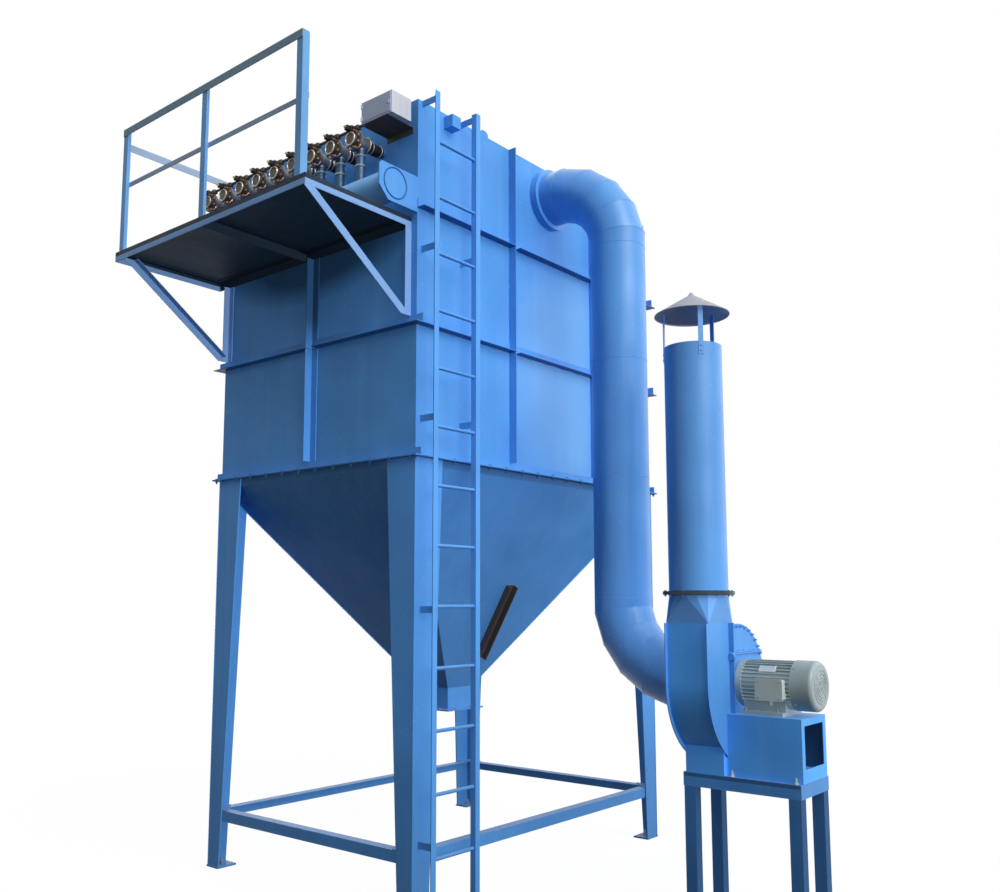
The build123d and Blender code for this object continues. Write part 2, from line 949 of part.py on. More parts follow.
def rain_cap():
    rim = cap_diameter / 2
    outline = [
        (0, cap_rim_level + cap_height), (rim, cap_rim_level),
        (rim, cap_rim_level - cap_plate), (0, cap_rim_level + cap_height - cap_plate),
    ]
    sheet = revolve(Plane.XZ * make_face(Polyline(*outline, close=True)), axis=Axis.Z)
    return Pos(stack_x, stack_y, 0) * sheet


def cap_struts():
    above = make_face(Polyline(*cone_profile(cap_plate + seat_gap), close=True))
    above = revolve(Plane.XZ * above, axis=Axis.Z)
    inner = stack_diameter / 2 + seat_gap
    strut = block(
        inner, inner + strut_plate, -strut_width / 2, strut_width / 2,
        stack_top - strut_overlap, cap_rim_level + cap_height,
    )
    strut -= above
    struts = []
    for step in range(strut_count):
        turn = Rot(0, 0, strut_first_turn + step * 360 / strut_count)
        struts.append(Pos(stack_x, stack_y, 0) * turn * strut)
    return struts


# Motor, laid along X on its pedestal behind the fan
motor_x = drive_x + motor_gap
motor_end = motor_x + motor_body_length
motor_axis = Plane(origin=(0, 0, fan_level), x_dir=(0, 1, 0), z_dir=(1, 0, 0))


def motor_disc(diameter, start_x, length):
    return Pos(start_x, 0, 0) * extrude(motor_axis * Circle(diameter / 2), amount=length)


def motor():
    body = motor_disc(motor_body_diameter, motor_x, motor_body_length)
    fins = Sketch()
    reach = motor_fin_diameter / 2
    for step in range(motor_fin_count):
        fin = Pos(reach / 2, 0) * Rectangle(reach, motor_fin_plate)
        fins += Rot(0, 0, step * 360 / motor_fin_count) * fin
    fin_start = motor_x + motor_shield_length
    fin_length = motor_body_length - motor_shield_length
    body += Pos(fin_start, 0, 0) * extrude(motor_axis * fins, amount=fin_length)
    body += motor_disc(motor_shield_diameter, motor_x, motor_shield_length)
    body += motor_disc(motor_shaft_diameter, motor_x - motor_gap, motor_gap)
    foot_x = motor_x + motor_shield_length
    foot = block(
        foot_x, foot_x + motor_foot_length, -motor_foot_width / 2, motor_foot_width / 2,
        pedestal_top, pedestal_top + motor_foot_plate,
    )
    web = block(
        foot_x, foot_x + motor_foot_length, -motor_foot_width / 3, motor_foot_width / 3,
        pedestal_top, fan_level,
    )
    return body + foot + web


def motor_cowl():
    cowl = motor_disc(motor_cowl_diameter, motor_end, motor_cowl_length)
    rim = cowl.edges().filter_by(GeomType.CIRCLE).sort_by(Axis.X)[-1]
    return fillet([rim], motor_cowl_radius)


def terminal_box():
    reach = -motor_fin_diameter / 2
    start = motor_x + terminal_offset
    low = fan_level - terminal_height / 2 - terminal_drop
    case = block(
        start, start + terminal_width, reach - terminal_depth, reach + terminal_overlap,
        low, low + terminal_height,
    )
    case = fillet(case.edges().filter_by(Axis.Y), terminal_radius)
    lid = block(
        start - terminal_lid / 2, start + terminal_width + terminal_lid / 2,
        reach - terminal_depth - terminal_lid, reach - terminal_depth,
        low - terminal_lid / 2, low + terminal_height + terminal_lid / 2,
    )
    lid = fillet(lid.edges().filter_by(Axis.Y), terminal_radius)
    keep_out = motor_disc(motor_fin_diameter + seat_gap * 2, motor_x, motor_body_length)
    return case + lid - keep_out


# Pedestal under the motor, open at its outer end, on a narrower plinth
def motor_pedestal():
    half = pedestal_width / 2
    end = drive_x + pedestal_length
    foot = base_level + plinth_height
    case = block(drive_x, end, -half, half, foot, pedestal_top)
    inner = half - pedestal_plate
    case -= block(
        drive_x + pedestal_plate, end - pedestal_plate, -inner, inner,
        foot + pedestal_plate, pedestal_top - pedestal_plate,
    )
    mouth = half - pedestal_lip
    case -= block(
        drive_x + pedestal_plate, end + cut_overrun, -mouth, mouth,
        foot + pedestal_lip, pedestal_top - pedestal_lip,
    )
    rim = half - plinth_inset
    hollow = rim - pedestal_plate
    plinth_end = end - plinth_inset
    plinth = block(drive_x, plinth_end, -rim, rim, base_level, foot)
    plinth -= block(
        drive_x + pedestal_plate, plinth_end - pedestal_plate, -hollow, hollow,
        base_level - cut_overrun, foot,
    )
    return case + plinth


def channel_bar(length, height):
    """Rolled channel along X with its web outside at Y = 0 and its flanges towards +Y."""
    bar = block(0, length, 0, base_flange, 0, height)
    return bar - block(
        -cut_overrun, length + cut_overrun, base_plate, base_flange + cut_overrun,
        base_plate, height - base_plate,
    )


base_foot = base_level - base_height
base_end = fan_inlet_x + base_length


def fan_base_frame():
    long_bar = Pos(fan_inlet_x, -base_width / 2, base_foot)
    long_bar = long_bar * channel_bar(base_length, base_height)
    inner = base_width / 2 - base_flange - weld_gap
    cross_bars = []
    for low, high in (
        (fan_inlet_x, fan_inlet_x + base_plate), (base_end - base_plate, base_end),
    ):
        cross_bars.append(block(low, high, -inner, inner, base_foot, base_level))
    return on_both_ends(long_bar) + cross_bars


def fan_base_posts():
    clear = post_size - post_wall * 2
    section = Rectangle(post_size, post_size) - Rectangle(clear, clear)
    post = extrude(section, amount=base_foot)
    posts = []
    for x in (fan_inlet_x + post_size / 2, base_end - post_size / 2):
        for side in (-1, 1):
            posts.append(Pos(x, side * (base_width - post_size) / 2, 0) * post)
    return posts


duct_hole = duct_diameter - duct_plate * 2
front_legs = on_both_sides(front_right_leg())
corner_signs = ((1, -1), (1, 1), (-1, 1), (-1, -1))

pieces = {
    "front_legs": front_legs,
    "rear_legs": [mirror(leg, about=Plane.XZ) for leg in front_legs],
    "tie_bars": tie_bars(),
    "hopper_end_plates": [
        hopper_plate(corner_signs[3], corner_signs[0]),
        hopper_plate(corner_signs[1], corner_signs[2]),
    ],
    "hopper_side_plates": [
        hopper_plate(corner_signs[0], corner_signs[1]),
        hopper_plate(corner_signs[2], corner_signs[3]),
    ],
    "outlet_spout": outlet_spout(),
    "vibrator_channel": vibrator_channel(),
    "hopper_flange": hopper_flange(),
    "housing_flange": housing_flange(),
    "front_wall": end_wall(-1),
    "rear_wall": end_wall(1),
    "left_wall": side_wall(-1, inlet_diameter - duct_plate * 2, inlet_level),
    "right_wall": side_wall(1, duct_hole, duct_level),
    "roof": roof(),
    "front_ribs": end_ribs(-1, (mid_rib_level,), frame_foot),
    "rear_ribs": end_ribs(1, (mid_rib_level, upper_rib_level), roof_level),
    "side_ribs": side_ribs(),
    "dust_inlet": dust_inlet(),
    "deck_plate": deck(),
    "deck_frame": deck_frame(),
    "platform_brackets": platform_brackets(),
    "railing_posts": railing_posts(),
    "railing_bars": railing_bars(),
    "header_tank": header_tank(),
    "header_end_plates": header_end_plates(),
    "pulse_valves": pulse_valves(),
    "blow_pipes": blow_pipes(),
    "control_box": control_box(),
    "control_bracket": control_bracket(),
    "ladder_stiles": ladder_stiles(),
    "ladder_rungs": ladder_rungs(),
    "ladder_stays": ladder_stays(),
    "lifting_stubs": lifting_stubs(),
    "duct_upper_bend": upper_bend(),
    "duct_riser": riser(),
    "duct_lower_bend": lower_bend(),
    "fan_scroll": fan_scroll(),
    "fan_side_plates": fan_side_plates(),
    "fan_saddle": fan_saddle(),
    "throat_transition": throat_transition(),
    "stack": stack(),
    "rain_cap": rain_cap(),
    "cap_struts": cap_struts(),
    "motor": motor(),
    "motor_cowl": motor_cowl(),
    "terminal_box": terminal_box(),
    "motor_pedestal": motor_pedestal(),
    "fan_base_frame": fan_base_frame(),
    "fan_base_posts": fan_base_posts(),
}

# Move the finished set so that the origin is on the ground under the middle of its box
solids = {}
for name, piece in pieces.items():
    members = piece if isinstance(piece, list) else [piece]
    solids[name] = [solid for member in members for solid in member.solids()]
box = Compound([solid for group in solids.values() for solid in group]).bounding_box()
centre = box.center()
shift = Pos(-centre.X, -centre.Y, -box.min.Z)
print("moved by", -centre.X, -centre.Y, -box.min.Z)

os.makedirs("parts", exist_ok=True)
for name, group in solids.items():
    moved = [shift * solid for solid in group]
    body = moved[0] if len(moved) == 1 else Compound(moved)
    body.label = name
    export_step(body, os.path.join("parts", name + ".step"))
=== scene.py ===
import bpy
import bmesh
from math import cos, pi, radians, sin
from mathutils import Matrix, Vector


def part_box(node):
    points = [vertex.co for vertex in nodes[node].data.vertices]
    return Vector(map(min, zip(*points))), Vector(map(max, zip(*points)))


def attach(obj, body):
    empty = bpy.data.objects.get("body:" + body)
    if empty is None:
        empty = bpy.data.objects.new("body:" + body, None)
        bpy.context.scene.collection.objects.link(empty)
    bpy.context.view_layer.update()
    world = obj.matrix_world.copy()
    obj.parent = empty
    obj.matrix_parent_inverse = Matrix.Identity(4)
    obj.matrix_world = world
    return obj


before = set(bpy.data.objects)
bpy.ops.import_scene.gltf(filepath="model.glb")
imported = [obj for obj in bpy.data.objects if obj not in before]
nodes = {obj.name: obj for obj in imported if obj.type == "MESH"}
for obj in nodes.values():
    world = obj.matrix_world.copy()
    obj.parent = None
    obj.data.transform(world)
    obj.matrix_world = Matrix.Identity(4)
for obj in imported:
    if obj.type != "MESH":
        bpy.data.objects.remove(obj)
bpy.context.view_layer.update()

# Viewpoint. The photographer stands on the ground off the front right corner of the housing,
# at eye height, and looks up a little, so the platform and the deck are seen from below.
wall_corner = Vector((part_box("right_wall")[1].x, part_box("front_wall")[0].y, 0.0))
eye_from_corner = Vector((3.999, -4.146, 1.819))
look_up = radians(6.683)
look_left = radians(39.767)
camera_data = bpy.data.cameras.new("photographer")
camera_data.lens = 35.09
camera_data.sensor_width = 36.0
camera_data.shift_x = 0.0138
camera_data.shift_y = 0.0401
camera = bpy.data.objects.new("photographer", camera_data)
camera.location = wall_corner + eye_from_corner
camera.rotation_euler = (pi / 2 + look_up, 0.0, look_left)
bpy.context.scene.collection.objects.link(camera)
bpy.context.scene.camera = camera

# Studio. A bright overcast sky high on the right: one very soft lamp that throws shadows and one
# that throws none, so the right hand faces are bright and the platform side lies in shade. Two
# weak lamps behind light the edges of the pipes, and to the eye surround and floor are white.
key_from = Vector((0.80, -0.16, 0.57))
lamps = (
    ("key_lamp", key_from, 1.7, radians(60), True),
    ("sky_lamp", key_from, 1.65, radians(10), False),
    ("rear_left_lamp", Vector((-0.80, 0.30, 0.50)), 0.8, radians(60), True),
    ("rear_right_lamp", Vector((0.45, 0.80, 0.40)), 0.5, radians(60), True),
)
fill_strength = 0.17
fill_tint = (0.80, 0.92, 1.0, 1.0)
floor_tone = 0.08
floor_glow = 0.93
floor_reach = 60.0
scene = bpy.context.scene
scene.view_settings.view_transform = "Standard"
for lamp_name, shines_from, strength, softness, shadows in lamps:
    lamp_data = bpy.data.lights.new(lamp_name, "SUN")
    lamp_data.energy = strength
    lamp_data.angle = softness
    lamp_data.use_shadow = shadows
    lamp = bpy.data.objects.new(lamp_name, lamp_data)
    lamp.rotation_euler = (-shines_from).to_track_quat("-Z", "Y").to_euler()
    scene.collection.objects.link(lamp)


def feed(tree, node, inputs):
    """Sets the inputs of a shader node, or links those that come from another node."""
    for socket, value in inputs.items():
        if hasattr(value, "is_linked"):
            tree.links.new(value, node.inputs[socket])
        else:
            node.inputs[socket].default_value = value


def add_node(tree, kind, inputs, **settings):
    """The outputs of a new shader node with its settings and inputs."""
    node = tree.nodes.new("ShaderNode" + kind)
    for setting, value in settings.items():
        setattr(node, setting, value)
    feed(tree, node, inputs)
    return node.outputs


def choose_by_eye(tree, unseen, seen):
    """One shader for rays from the eye, a reflection or a glass pane, another for the light."""
    path = add_node(tree, "LightPath", {})
    shows = path["Is Camera Ray"]
    for kind in ("Is Glossy Ray", "Is Transmission Ray"):
        shows = add_node(tree, "Math", {0: shows, 1: path[kind]}, operation="MAXIMUM")[0]
    return add_node(tree, "MixShader", {"Fac": shows, 1: unseen, 2: seen})[0]


world = bpy.data.worlds.new("studio")
scene.world = world
world.use_nodes = True
tree = world.node_tree
tree.nodes.clear()
fill = add_node(tree, "Background", {"Color": fill_tint, "Strength": fill_strength})[0]
white = add_node(tree, "Background", {"Color": (1.0, 1.0, 1.0, 1.0), "Strength": 1.0})[0]
add_node(tree, "OutputWorld", {"Surface": choose_by_eye(tree, fill, white)})

floor_mesh = bmesh.new()
bmesh.ops.create_grid(floor_mesh, x_segments=1, y_segments=1, size=floor_reach)
floor_data = bpy.data.meshes.new("studio_floor")
floor_mesh.to_mesh(floor_data)
floor_mesh.free()
floor = bpy.data.objects.new("studio_floor", floor_data)
scene.collection.objects.link(floor)
floor_paint = bpy.data.materials.new("studio_floor")
floor_paint.use_nodes = True
tree = floor_paint.node_tree
cloth = tree.nodes["Principled BSDF"]
feed(tree, cloth, {"Base Color": (floor_tone, floor_tone, floor_tone, 1.0), "Roughness": 0.95,
                   "Specular IOR Level": 0.0})
glow = add_node(tree, "Emission", {"Strength": floor_glow})[0]
hidden = add_node(tree, "Emission", {"Strength": 0.0})[0]
both = add_node(tree, "AddShader", {0: cloth.outputs[0], 1: choose_by_eye(tree, hidden, glow)})[0]
feed(tree, tree.nodes["Material Output"], {"Surface": both})
floor_data.materials.append(floor_paint)

# Legs and tie bars. Each leg is two tapered plates welded to an L on a foot plate, and four
# angles tie the legs near the ground. All of it is sprayed with blue enamel after welding,
# which has runs, dust on what faces up, and chips, and the plates are a little wavy.
paint_blue = (0.100, 0.345, 0.800)
chalky_blue = (0.250, 0.480, 0.800)
dust_grey = (0.330, 0.340, 0.350, 1.0)
# Painted shade: colours darken towards the ground below the height set here, as shade near a dark
# ground would.
ground_shade_blue = (0.020, 0.065, 0.160, 1.0)
ground_shade_height = 1.7
run_stretch = (13.0, 13.0, 0.55)
dust_dulling = 0.25
peel_share = 0.002
wave_height = 0.030
far_off = 100.0


def add_math(tree, operation, first, second):
    return add_node(tree, "Math", {0: first, 1: second}, operation=operation)[0]


def add_product(tree, first, *others):
    for other in others:
        first = add_math(tree, "MULTIPLY", first, other)
    return first


def add_noise(tree, place, scale, detail):
    return add_node(tree, "TexNoise", {"Vector": place, "Scale": scale, "Detail": detail})[0]


def add_range(tree, value, low, high, out_low=0.0, out_high=1.0):
    return add_node(tree, "MapRange", {"Value": value, "From Min": low, "From Max": high,
                                       "To Min": out_low, "To Max": out_high})[0]


def add_mix(tree, factor, base, top):
    return add_node(tree, "Mix", {0: factor, 6: base, 7: top}, data_type="RGBA")[2]


def split_axes(tree, vector):
    """The X, Y and Z outputs of a vector."""
    return add_node(tree, "SeparateXYZ", {0: vector})


def new_effect(name, inputs, outputs):
    """A node group with its sockets: the group, what it is given, its place and its end."""
    group = bpy.data.node_groups.new(name, "ShaderNodeTree")
    for in_out, sockets in (("INPUT", inputs), ("OUTPUT", outputs)):
        for label, kind in sockets.items():
            group.interface.new_socket(label, in_out=in_out, socket_type="NodeSocket" + kind)
    given = group.nodes.new("NodeGroupInput").outputs
    place = add_node(group, "TexCoord", {})["Object"]
    return group, given, place, group.nodes.new("NodeGroupOutput")


def weathered_surface():
    """Node group: uneven tone, runs, chips, painted shade darkening towards the ground, dust on top
    and plate waves.
    """
    group, given, place, leave = new_effect(
        "weathered_surface",
        {"Colour": "Color", "Worn Colour": "Color", "Roughness": "Float", "Runs": "Float",
         "Dust": "Float", "Ground Shade": "Float"},
        {"Colour": "Color", "Roughness": "Float", "Height": "Float"})
    drawn = add_node(group, "Mapping", {"Vector": place, "Scale": run_stretch})[0]
    clouds = add_noise(group, place, scale=1.4, detail=4.0)
    grain = add_noise(group, place, scale=42.0, detail=3.0)
    runs = add_noise(group, drawn, scale=1.0, detail=3.0)
    swell = add_noise(group, place, scale=1.8, detail=1.0)
    peel = add_noise(group, place, scale=300.0, detail=1.0)

    uneven = add_range(group, clouds, low=0.30, high=0.70, out_low=0.90, out_high=1.08)
    tone = add_node(group, "HueSaturation", {"Color": given["Colour"], "Value": uneven})[0]
    run_mask = add_product(group, add_range(group, runs, low=0.50, high=0.74), given["Runs"])
    chips = add_range(group, grain, low=0.665, high=0.70, out_low=0.0, out_high=0.45)
    worn = add_math(group, "MAXIMUM", run_mask, chips)
    colour = add_mix(group, worn, tone, given["Worn Colour"])

    # Painted shade: darker towards the ground, mottled a little by the clouds noise.
    low_down = add_range(group, split_axes(group, place)["Z"], low=ground_shade_height, high=0.0)
    shade_mottle = add_range(group, clouds, low=0.25, high=0.75, out_low=0.8, out_high=1.0)
    ground_shade = add_product(group, low_down, shade_mottle, given["Ground Shade"])
    colour = add_mix(group, ground_shade, colour, ground_shade_blue)
    facing = add_node(group, "NewGeometry", {})["Normal"]
    upward = add_range(group, split_axes(group, facing)["Z"], low=0.35, high=0.95)
    patches = add_range(group, clouds, low=0.25, high=0.65, out_low=0.45, out_high=1.0)
    settled = add_product(group, upward, patches, given["Dust"])
    colour = add_mix(group, settled, colour, dust_grey)

    grainy = add_range(group, grain, low=0.30, high=0.70, out_low=-0.06, out_high=0.06)
    rough = add_math(group, "ADD", given["Roughness"], grainy)
    rough = add_math(group, "ADD", rough, add_product(group, settled, dust_dulling))
    height = add_math(group, "ADD", swell, add_product(group, peel, peel_share))
    feed(group, leave, {"Colour": colour, "Roughness": rough, "Height": height})
    return group


def boxed_place():
    """Node group: one inside a box of places on the part, nought outside it."""
    group, given, place, leave = new_effect(
        "boxed_place", {"Low": "Vector", "High": "Vector"}, {"Mask": "Float"})
    spot = split_axes(group, place)
    low = split_axes(group, given["Low"])
    high = split_axes(group, given["High"])
    inside = [add_math(group, operation, spot[axis], limit[axis]) for axis in "XYZ"
              for operation, limit in (("GREATER_THAN", low), ("LESS_THAN", high))]
    feed(group, leave, {"Mask": add_product(group, *inside)})
    return group


surface_effect = weathered_surface()
box_effect = boxed_place()


def look(name, colour, worn=chalky_blue, rough=0.40, runs=0.16, dust=0.35,
         metal=0.0, shine=0.12, waves=1.0, ground_shade=0.55, shades=()):
    """A material whose colour, gloss and waves come from the weathered surface group.

    Each shade is a colour with the low and high corner of the box that has it, where None
    leaves a side open."""
    finish = bpy.data.materials.new(name)
    finish.use_nodes = True
    tree = finish.node_tree
    surface = add_node(tree, "Group", {
        "Colour": (*colour, 1.0), "Worn Colour": (*worn, 1.0), "Roughness": rough,
        "Runs": runs, "Dust": dust, "Ground Shade": ground_shade}, node_tree=surface_effect)
    tone = surface["Colour"]
    for shade, low, high in shades:
        zone = add_node(tree, "Group", {
            "Low": [-far_off if side is None else side for side in low],
            "High": [far_off if side is None else side for side in high]}, node_tree=box_effect)
        tone = add_mix(tree, zone["Mask"], tone, (*shade, 1.0))
    bump = add_node(tree, "Bump", {"Strength": waves, "Distance": wave_height,
                                   "Height": surface["Height"]})[0]
    feed(tree, tree.nodes["Principled BSDF"], {
        "Base Color": tone, "Roughness": surface["Roughness"], "Normal": bump,
        "Metallic": metal, "Specular IOR Level": shine})
    return finish


def dress(finish, *names):
    for name in names:
        nodes[name].data.materials.clear()
        nodes[name].data.materials.append(finish)


blue_enamel = look("blue_enamel", paint_blue)
dress(blue_enamel, "front_legs", "rear_legs", "tie_bars")


def fit(name, mesh, finish=blue_enamel):
    """Makes the mesh a piece of the plant with its finish, fixed to the one body."""
    data = bpy.data.meshes.new(name)
    mesh.to_mesh(data)
    mesh.free()
    data.materials.append(finish)
    piece = bpy.data.objects.new(name, data)
    scene.collection.objects.link(piece)
    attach(piece, "root")


def upright_at(seat, outward):
    """Where a shape drawn along Z goes when it stands on a seat and points outwards."""
    turn = Vector(outward).to_track_quat("Z", "Y").to_matrix().to_4x4()
    return Matrix.Translation(seat) @ turn


def add_round(mesh, seat, outward, radius, length, sides=16, tip=None):
    """A round or many sided bar that stands on its seat, with a chosen radius at its tip."""
    bmesh.ops.create_cone(
        mesh, cap_ends=True, cap_tris=False, segments=sides, radius1=radius,
        radius2=radius if tip is None else tip, depth=length,
        matrix=upright_at(seat, outward) @ Matrix.Translation((0.0, 0.0, length / 2)))


bolt_stages = (  # start, radius, length and tip radius in halves of the head, then the sides
    (0.0, 1.25, 0.22, 1.25, 12),  # washer
    (0.22, 1.08, 0.62, 1.08, 6),  # head
    (0.84, 1.02, 0.10, 0.86, 6),  # chamfer
)
thread_start = 0.9
thread_radius = 0.55
thread_tip = 0.48


def add_bolt(mesh, seat, outward, size, thread=0.0):
    """Washer and hexagon head on a seat, size being half the head, with any thread that shows."""
    out = Vector(outward).normalized()
    base = Vector(seat)
    for start, radius, length, tip, sides in bolt_stages:
        add_round(mesh, base + out * size * start, out, size * radius, size * length, sides,
                  size * tip)
    if thread:
        add_round(mesh, base + out * size * thread_start, out, size * thread_radius, thread, 8,
                  size * thread_tip)


zinc = look("zinc_bolts", (0.36, 0.38, 0.41), (0.20, 0.17, 0.14), rough=0.45,
            runs=0.5, dust=0.2, metal=0.6, shine=0.4, waves=0.0)
up = (0, 0, 1)
anchor_inset = 0.055
anchor_bolt = (0.015, 0.028)  # half the head, thread
foot_top = 0.012
wall_low = Vector((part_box("left_wall")[0].x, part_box("front_wall")[0].y, 0.0))
wall_high = Vector((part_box("right_wall")[1].x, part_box("rear_wall")[1].y, 0.0))
wall_middle = (wall_low + wall_high) / 2
wall_xs = ((wall_low.x, 1), (wall_high.x, -1))  # place, direction inwards
wall_ys = ((wall_low.y, 1), (wall_high.y, -1))
anchors = bmesh.new()
for x in (wall_low.x + anchor_inset, wall_high.x - anchor_inset):
    for y in (wall_low.y + anchor_inset, wall_high.y - anchor_inset):
        add_bolt(anchors, (x, y, foot_top), up, *anchor_bolt)
fit("anchor_nuts", anchors, zinc)

gusset_leg = 0.16
gusset_plate = 0.006
tie_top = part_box("tie_bars")[1].z
gussets = bmesh.new()
for x, inward_x in wall_xs:
    for y, inward_y in wall_ys:
        face = gussets.faces.new([
            gussets.verts.new((x, y, tie_top)),
            gussets.verts.new((x + inward_x * gusset_leg, y, tie_top)),
            gussets.verts.new((x, y + inward_y * gusset_leg, tie_top)),
        ])
        grown = bmesh.ops.extrude_face_region(gussets, geom=[face])
        raised = [item for item in grown["geom"] if isinstance(item, bmesh.types.BMVert)]
        bmesh.ops.translate(gussets, verts=raised, vec=(0, 0, gusset_plate))
bmesh.ops.recalc_face_normals(gussets, faces=gussets.faces)
fit("tie_gussets", gussets)

# Leg welds. A hand laid bead closes the outer corner of each leg, from the foot plate to the top.
# It lies under the paint and keeps the ripple of the rod.
ripple = 0.030
ripple_depth = 0.14
bead_step = 0.015
nearly_all = 0.9


def add_part(mesh, part, place):
    """Puts a finished small shape into a bigger mesh."""
    bmesh.ops.transform(part, matrix=place, verts=part.verts)
    data = bpy.data.meshes.new("part")
    part.to_mesh(data)
    part.free()
    mesh.from_mesh(data)
    bpy.data.meshes.remove(data)


def add_bead(mesh, start, end, radius):
    """A rippled bead along a straight seam."""
    first = Vector(start)
    run = Vector(end) - first
    part = bmesh.new()
    bmesh.ops.create_cone(part, cap_ends=True, cap_tris=False, segments=6, radius1=radius,
                          radius2=radius, depth=run.length)
    lengthwise = [edge for edge in part.edges if edge.calc_length() > run.length * nearly_all]
    bmesh.ops.subdivide_edges(part, edges=lengthwise, cuts=max(2, int(run.length / bead_step)),
                              use_grid_fill=True)
    for vert in part.verts:
        swing = 1 - ripple_depth + ripple_depth * cos(2 * pi * vert.co.z / ripple)
        vert.co.x *= swing
        vert.co.y *= swing
    add_part(mesh, part, upright_at(first + run / 2, run))


leg_plate = 0.010
leg_bead = 0.004
leg_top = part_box("front_legs")[1].z
for side, x in (("left", wall_low.x - leg_plate), ("right", wall_high.x + leg_plate)):
    for end, y in (("front", wall_low.y - leg_plate), ("rear", wall_high.y + leg_plate)):
        seam = bmesh.new()
        add_bead(seam, (x, y, foot_top), (x, y, leg_top), leg_bead)
        fit("leg_weld_" + end + "_" + side, seam)

# Hopper. Four mitred plates hang from the joint, with a weld bead on each seam, and end in a
# square spout with a bolted flange. An open channel, bare and weathered, is welded down one plate
# to carry a vibrator.
dress(blue_enamel, "hopper_side_plates", "outlet_spout")
# The end plates face forward and down, and their darker blue is painted shade.
shaded_blue = (0.075, 0.265, 0.620)
dress(look("hopper_shade_enamel", shaded_blue, rough=0.45, runs=0.12, dust=0.3),
      "hopper_end_plates")
weathered_steel = look(
    "weathered_steel", (0.075, 0.065, 0.060), (0.16, 0.09, 0.05), rough=0.62, runs=0.7,
    dust=0.3, metal=0.35, shine=0.35, waves=0.3)
dress(weathered_steel, "vibrator_channel")
bead_radius = 0.005
hopper_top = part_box("hopper_side_plates")[1].z
spout_low, spout_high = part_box("outlet_spout")
spout_middle = (spout_low + spout_high) / 2
spout_half = 0.1325
number = 0
for x, inward_x in wall_xs:
    for y, inward_y in wall_ys:
        number += 1
        seam = bmesh.new()
        low = (spout_middle.x - inward_x * spout_half, spout_middle.y - inward_y * spout_half,
               spout_high.z)
        add_bead(seam, low, (x, y, hopper_top), bead_radius)
        fit("hopper_seam_%d" % number, seam)

outlet_far = 0.16375
outlet_near = 0.080
outlet_bolt = 0.009
outlet_plate = 0.010
outlet_bolts = bmesh.new()
for near in (-outlet_near, outlet_near):
    for far in (-outlet_far, outlet_far):
        for x, y in ((near, far), (far, near)):
            seat = (spout_middle.x + x, spout_middle.y + y, spout_low.z + outlet_plate)
            add_bolt(outlet_bolts, seat, up, outlet_bolt)
fit("outlet_bolts", outlet_bolts, zinc)

# Bolted joint. Two angle frames lie back to back between hopper and housing, and a row of
# bolts with nuts below pulls them together. The lower frame lies in shade: its darker, duller paint
# and the dark bolts are painted shade.
dress(blue_enamel, "housing_flange")
dress(look("flange_shade_enamel", (0.050, 0.170, 0.400), (0.12, 0.25, 0.42), rough=0.5, runs=0.3,
           dust=0.3), "hopper_flange")
# This dark blue is a dark joint on the header's ring welds and painted shade on the joint bolts
# under the flange.
seam_and_shade_blue = look("seam_and_shade_blue", (0.035, 0.130, 0.360), (0.08, 0.16, 0.30), rough=0.5,
                 runs=0.3, dust=0.2)
joint_low, joint_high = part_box("housing_flange")
joint_level = joint_low.z
down = (0, 0, -1)
flange_plate = 0.005
joint_bolt = 0.010
joint_thread = 0.012
bolt_pitch = 0.175
bolt_line = 0.027


def spaced(first, last, pitch):
    """Even places from first to last, about a pitch apart."""
    count = round((last - first) / pitch)
    return [first + (last - first) * step / count for step in range(count + 1)]


joint_seats = []
for x in spaced(wall_low.x + bolt_line, wall_high.x - bolt_line, bolt_pitch):
    joint_seats += [(x, wall_low.y - bolt_line), (x, wall_high.y + bolt_line)]
for y in spaced(wall_low.y - bolt_line, wall_high.y + bolt_line, bolt_pitch):
    joint_seats += [(wall_low.x - bolt_line, y), (wall_high.x + bolt_line, y)]
joint_bolts = bmesh.new()
for x, y in joint_seats:
    add_bolt(joint_bolts, (x, y, joint_level + flange_plate), up, joint_bolt)
    add_bolt(joint_bolts, (x, y, joint_level - flange_plate), down, joint_bolt, joint_thread)
fit("joint_bolts", joint_bolts, seam_and_shade_blue)

# Housing. Plain sheet walls and a flat roof with angle ribs stitch welded to them. A painted shadow
# darkens the front wall and its ribs under the deck, and a painted sheen pales the right wall near
# its rear end. Two lifting lugs of plate stand on each long roof edge, and square stubs sit under
# it.
dress(blue_enamel, "rear_wall", "left_wall", "roof", "lifting_stubs")
roof_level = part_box("roof")[1].z
rib_levels = (3.480, 4.215)
rib_plate = 0.006
rib_underside_shade = (0.035, 0.130, 0.360)
# Painted shadow of the deck: its tone, reach and share.
deck_shadow_blue = (0.020, 0.065, 0.150)
wall_shadow_reach = (0.97, 1.0, 0.36)
rib_shadow_reach = (0.97, 1.0, 0.78)
deck_shadow_share = 0.85
under_deck = Vector((wall_middle.x, wall_low.y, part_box("deck_plate")[0].z))
# Painted sheen: the right wall turns paler round a place near its rear end.
sheen_blue = (0.280, 0.600, 1.000)
sheen_reach = (1.0, 1.2, 0.95)
sheen_share = 0.5
sheen_middle = Vector((wall_high.x, 0.95, 3.40))


def tinted_zone():
    """Node group: a tint that grows towards a place, with a reach along each axis and a ceiling."""
    group, given, place, leave = new_effect(
        "tinted_zone",
        {"Colour": "Color", "Tint": "Color", "Middle": "Vector", "Reach": "Vector",
         "Ceiling": "Float", "Share": "Float"},
        {"Colour": "Color"})
    away = place
    for operation, label in (("SUBTRACT", "Middle"), ("DIVIDE", "Reach")):
        away = add_node(group, "VectorMath", {0: away, 1: given[label]},
                        operation=operation)["Vector"]
    distance = add_node(group, "VectorMath", {0: away}, operation="LENGTH")["Value"]
    near = add_range(group, distance, low=1.0, high=0.6)
    below = add_math(group, "LESS_THAN", split_axes(group, place)["Z"], given["Ceiling"])
    mask = add_product(group, near, below, given["Share"])
    feed(group, leave, {"Colour": add_mix(group, mask, given["Colour"], given["Tint"])})
    return group


zone_effect = tinted_zone()


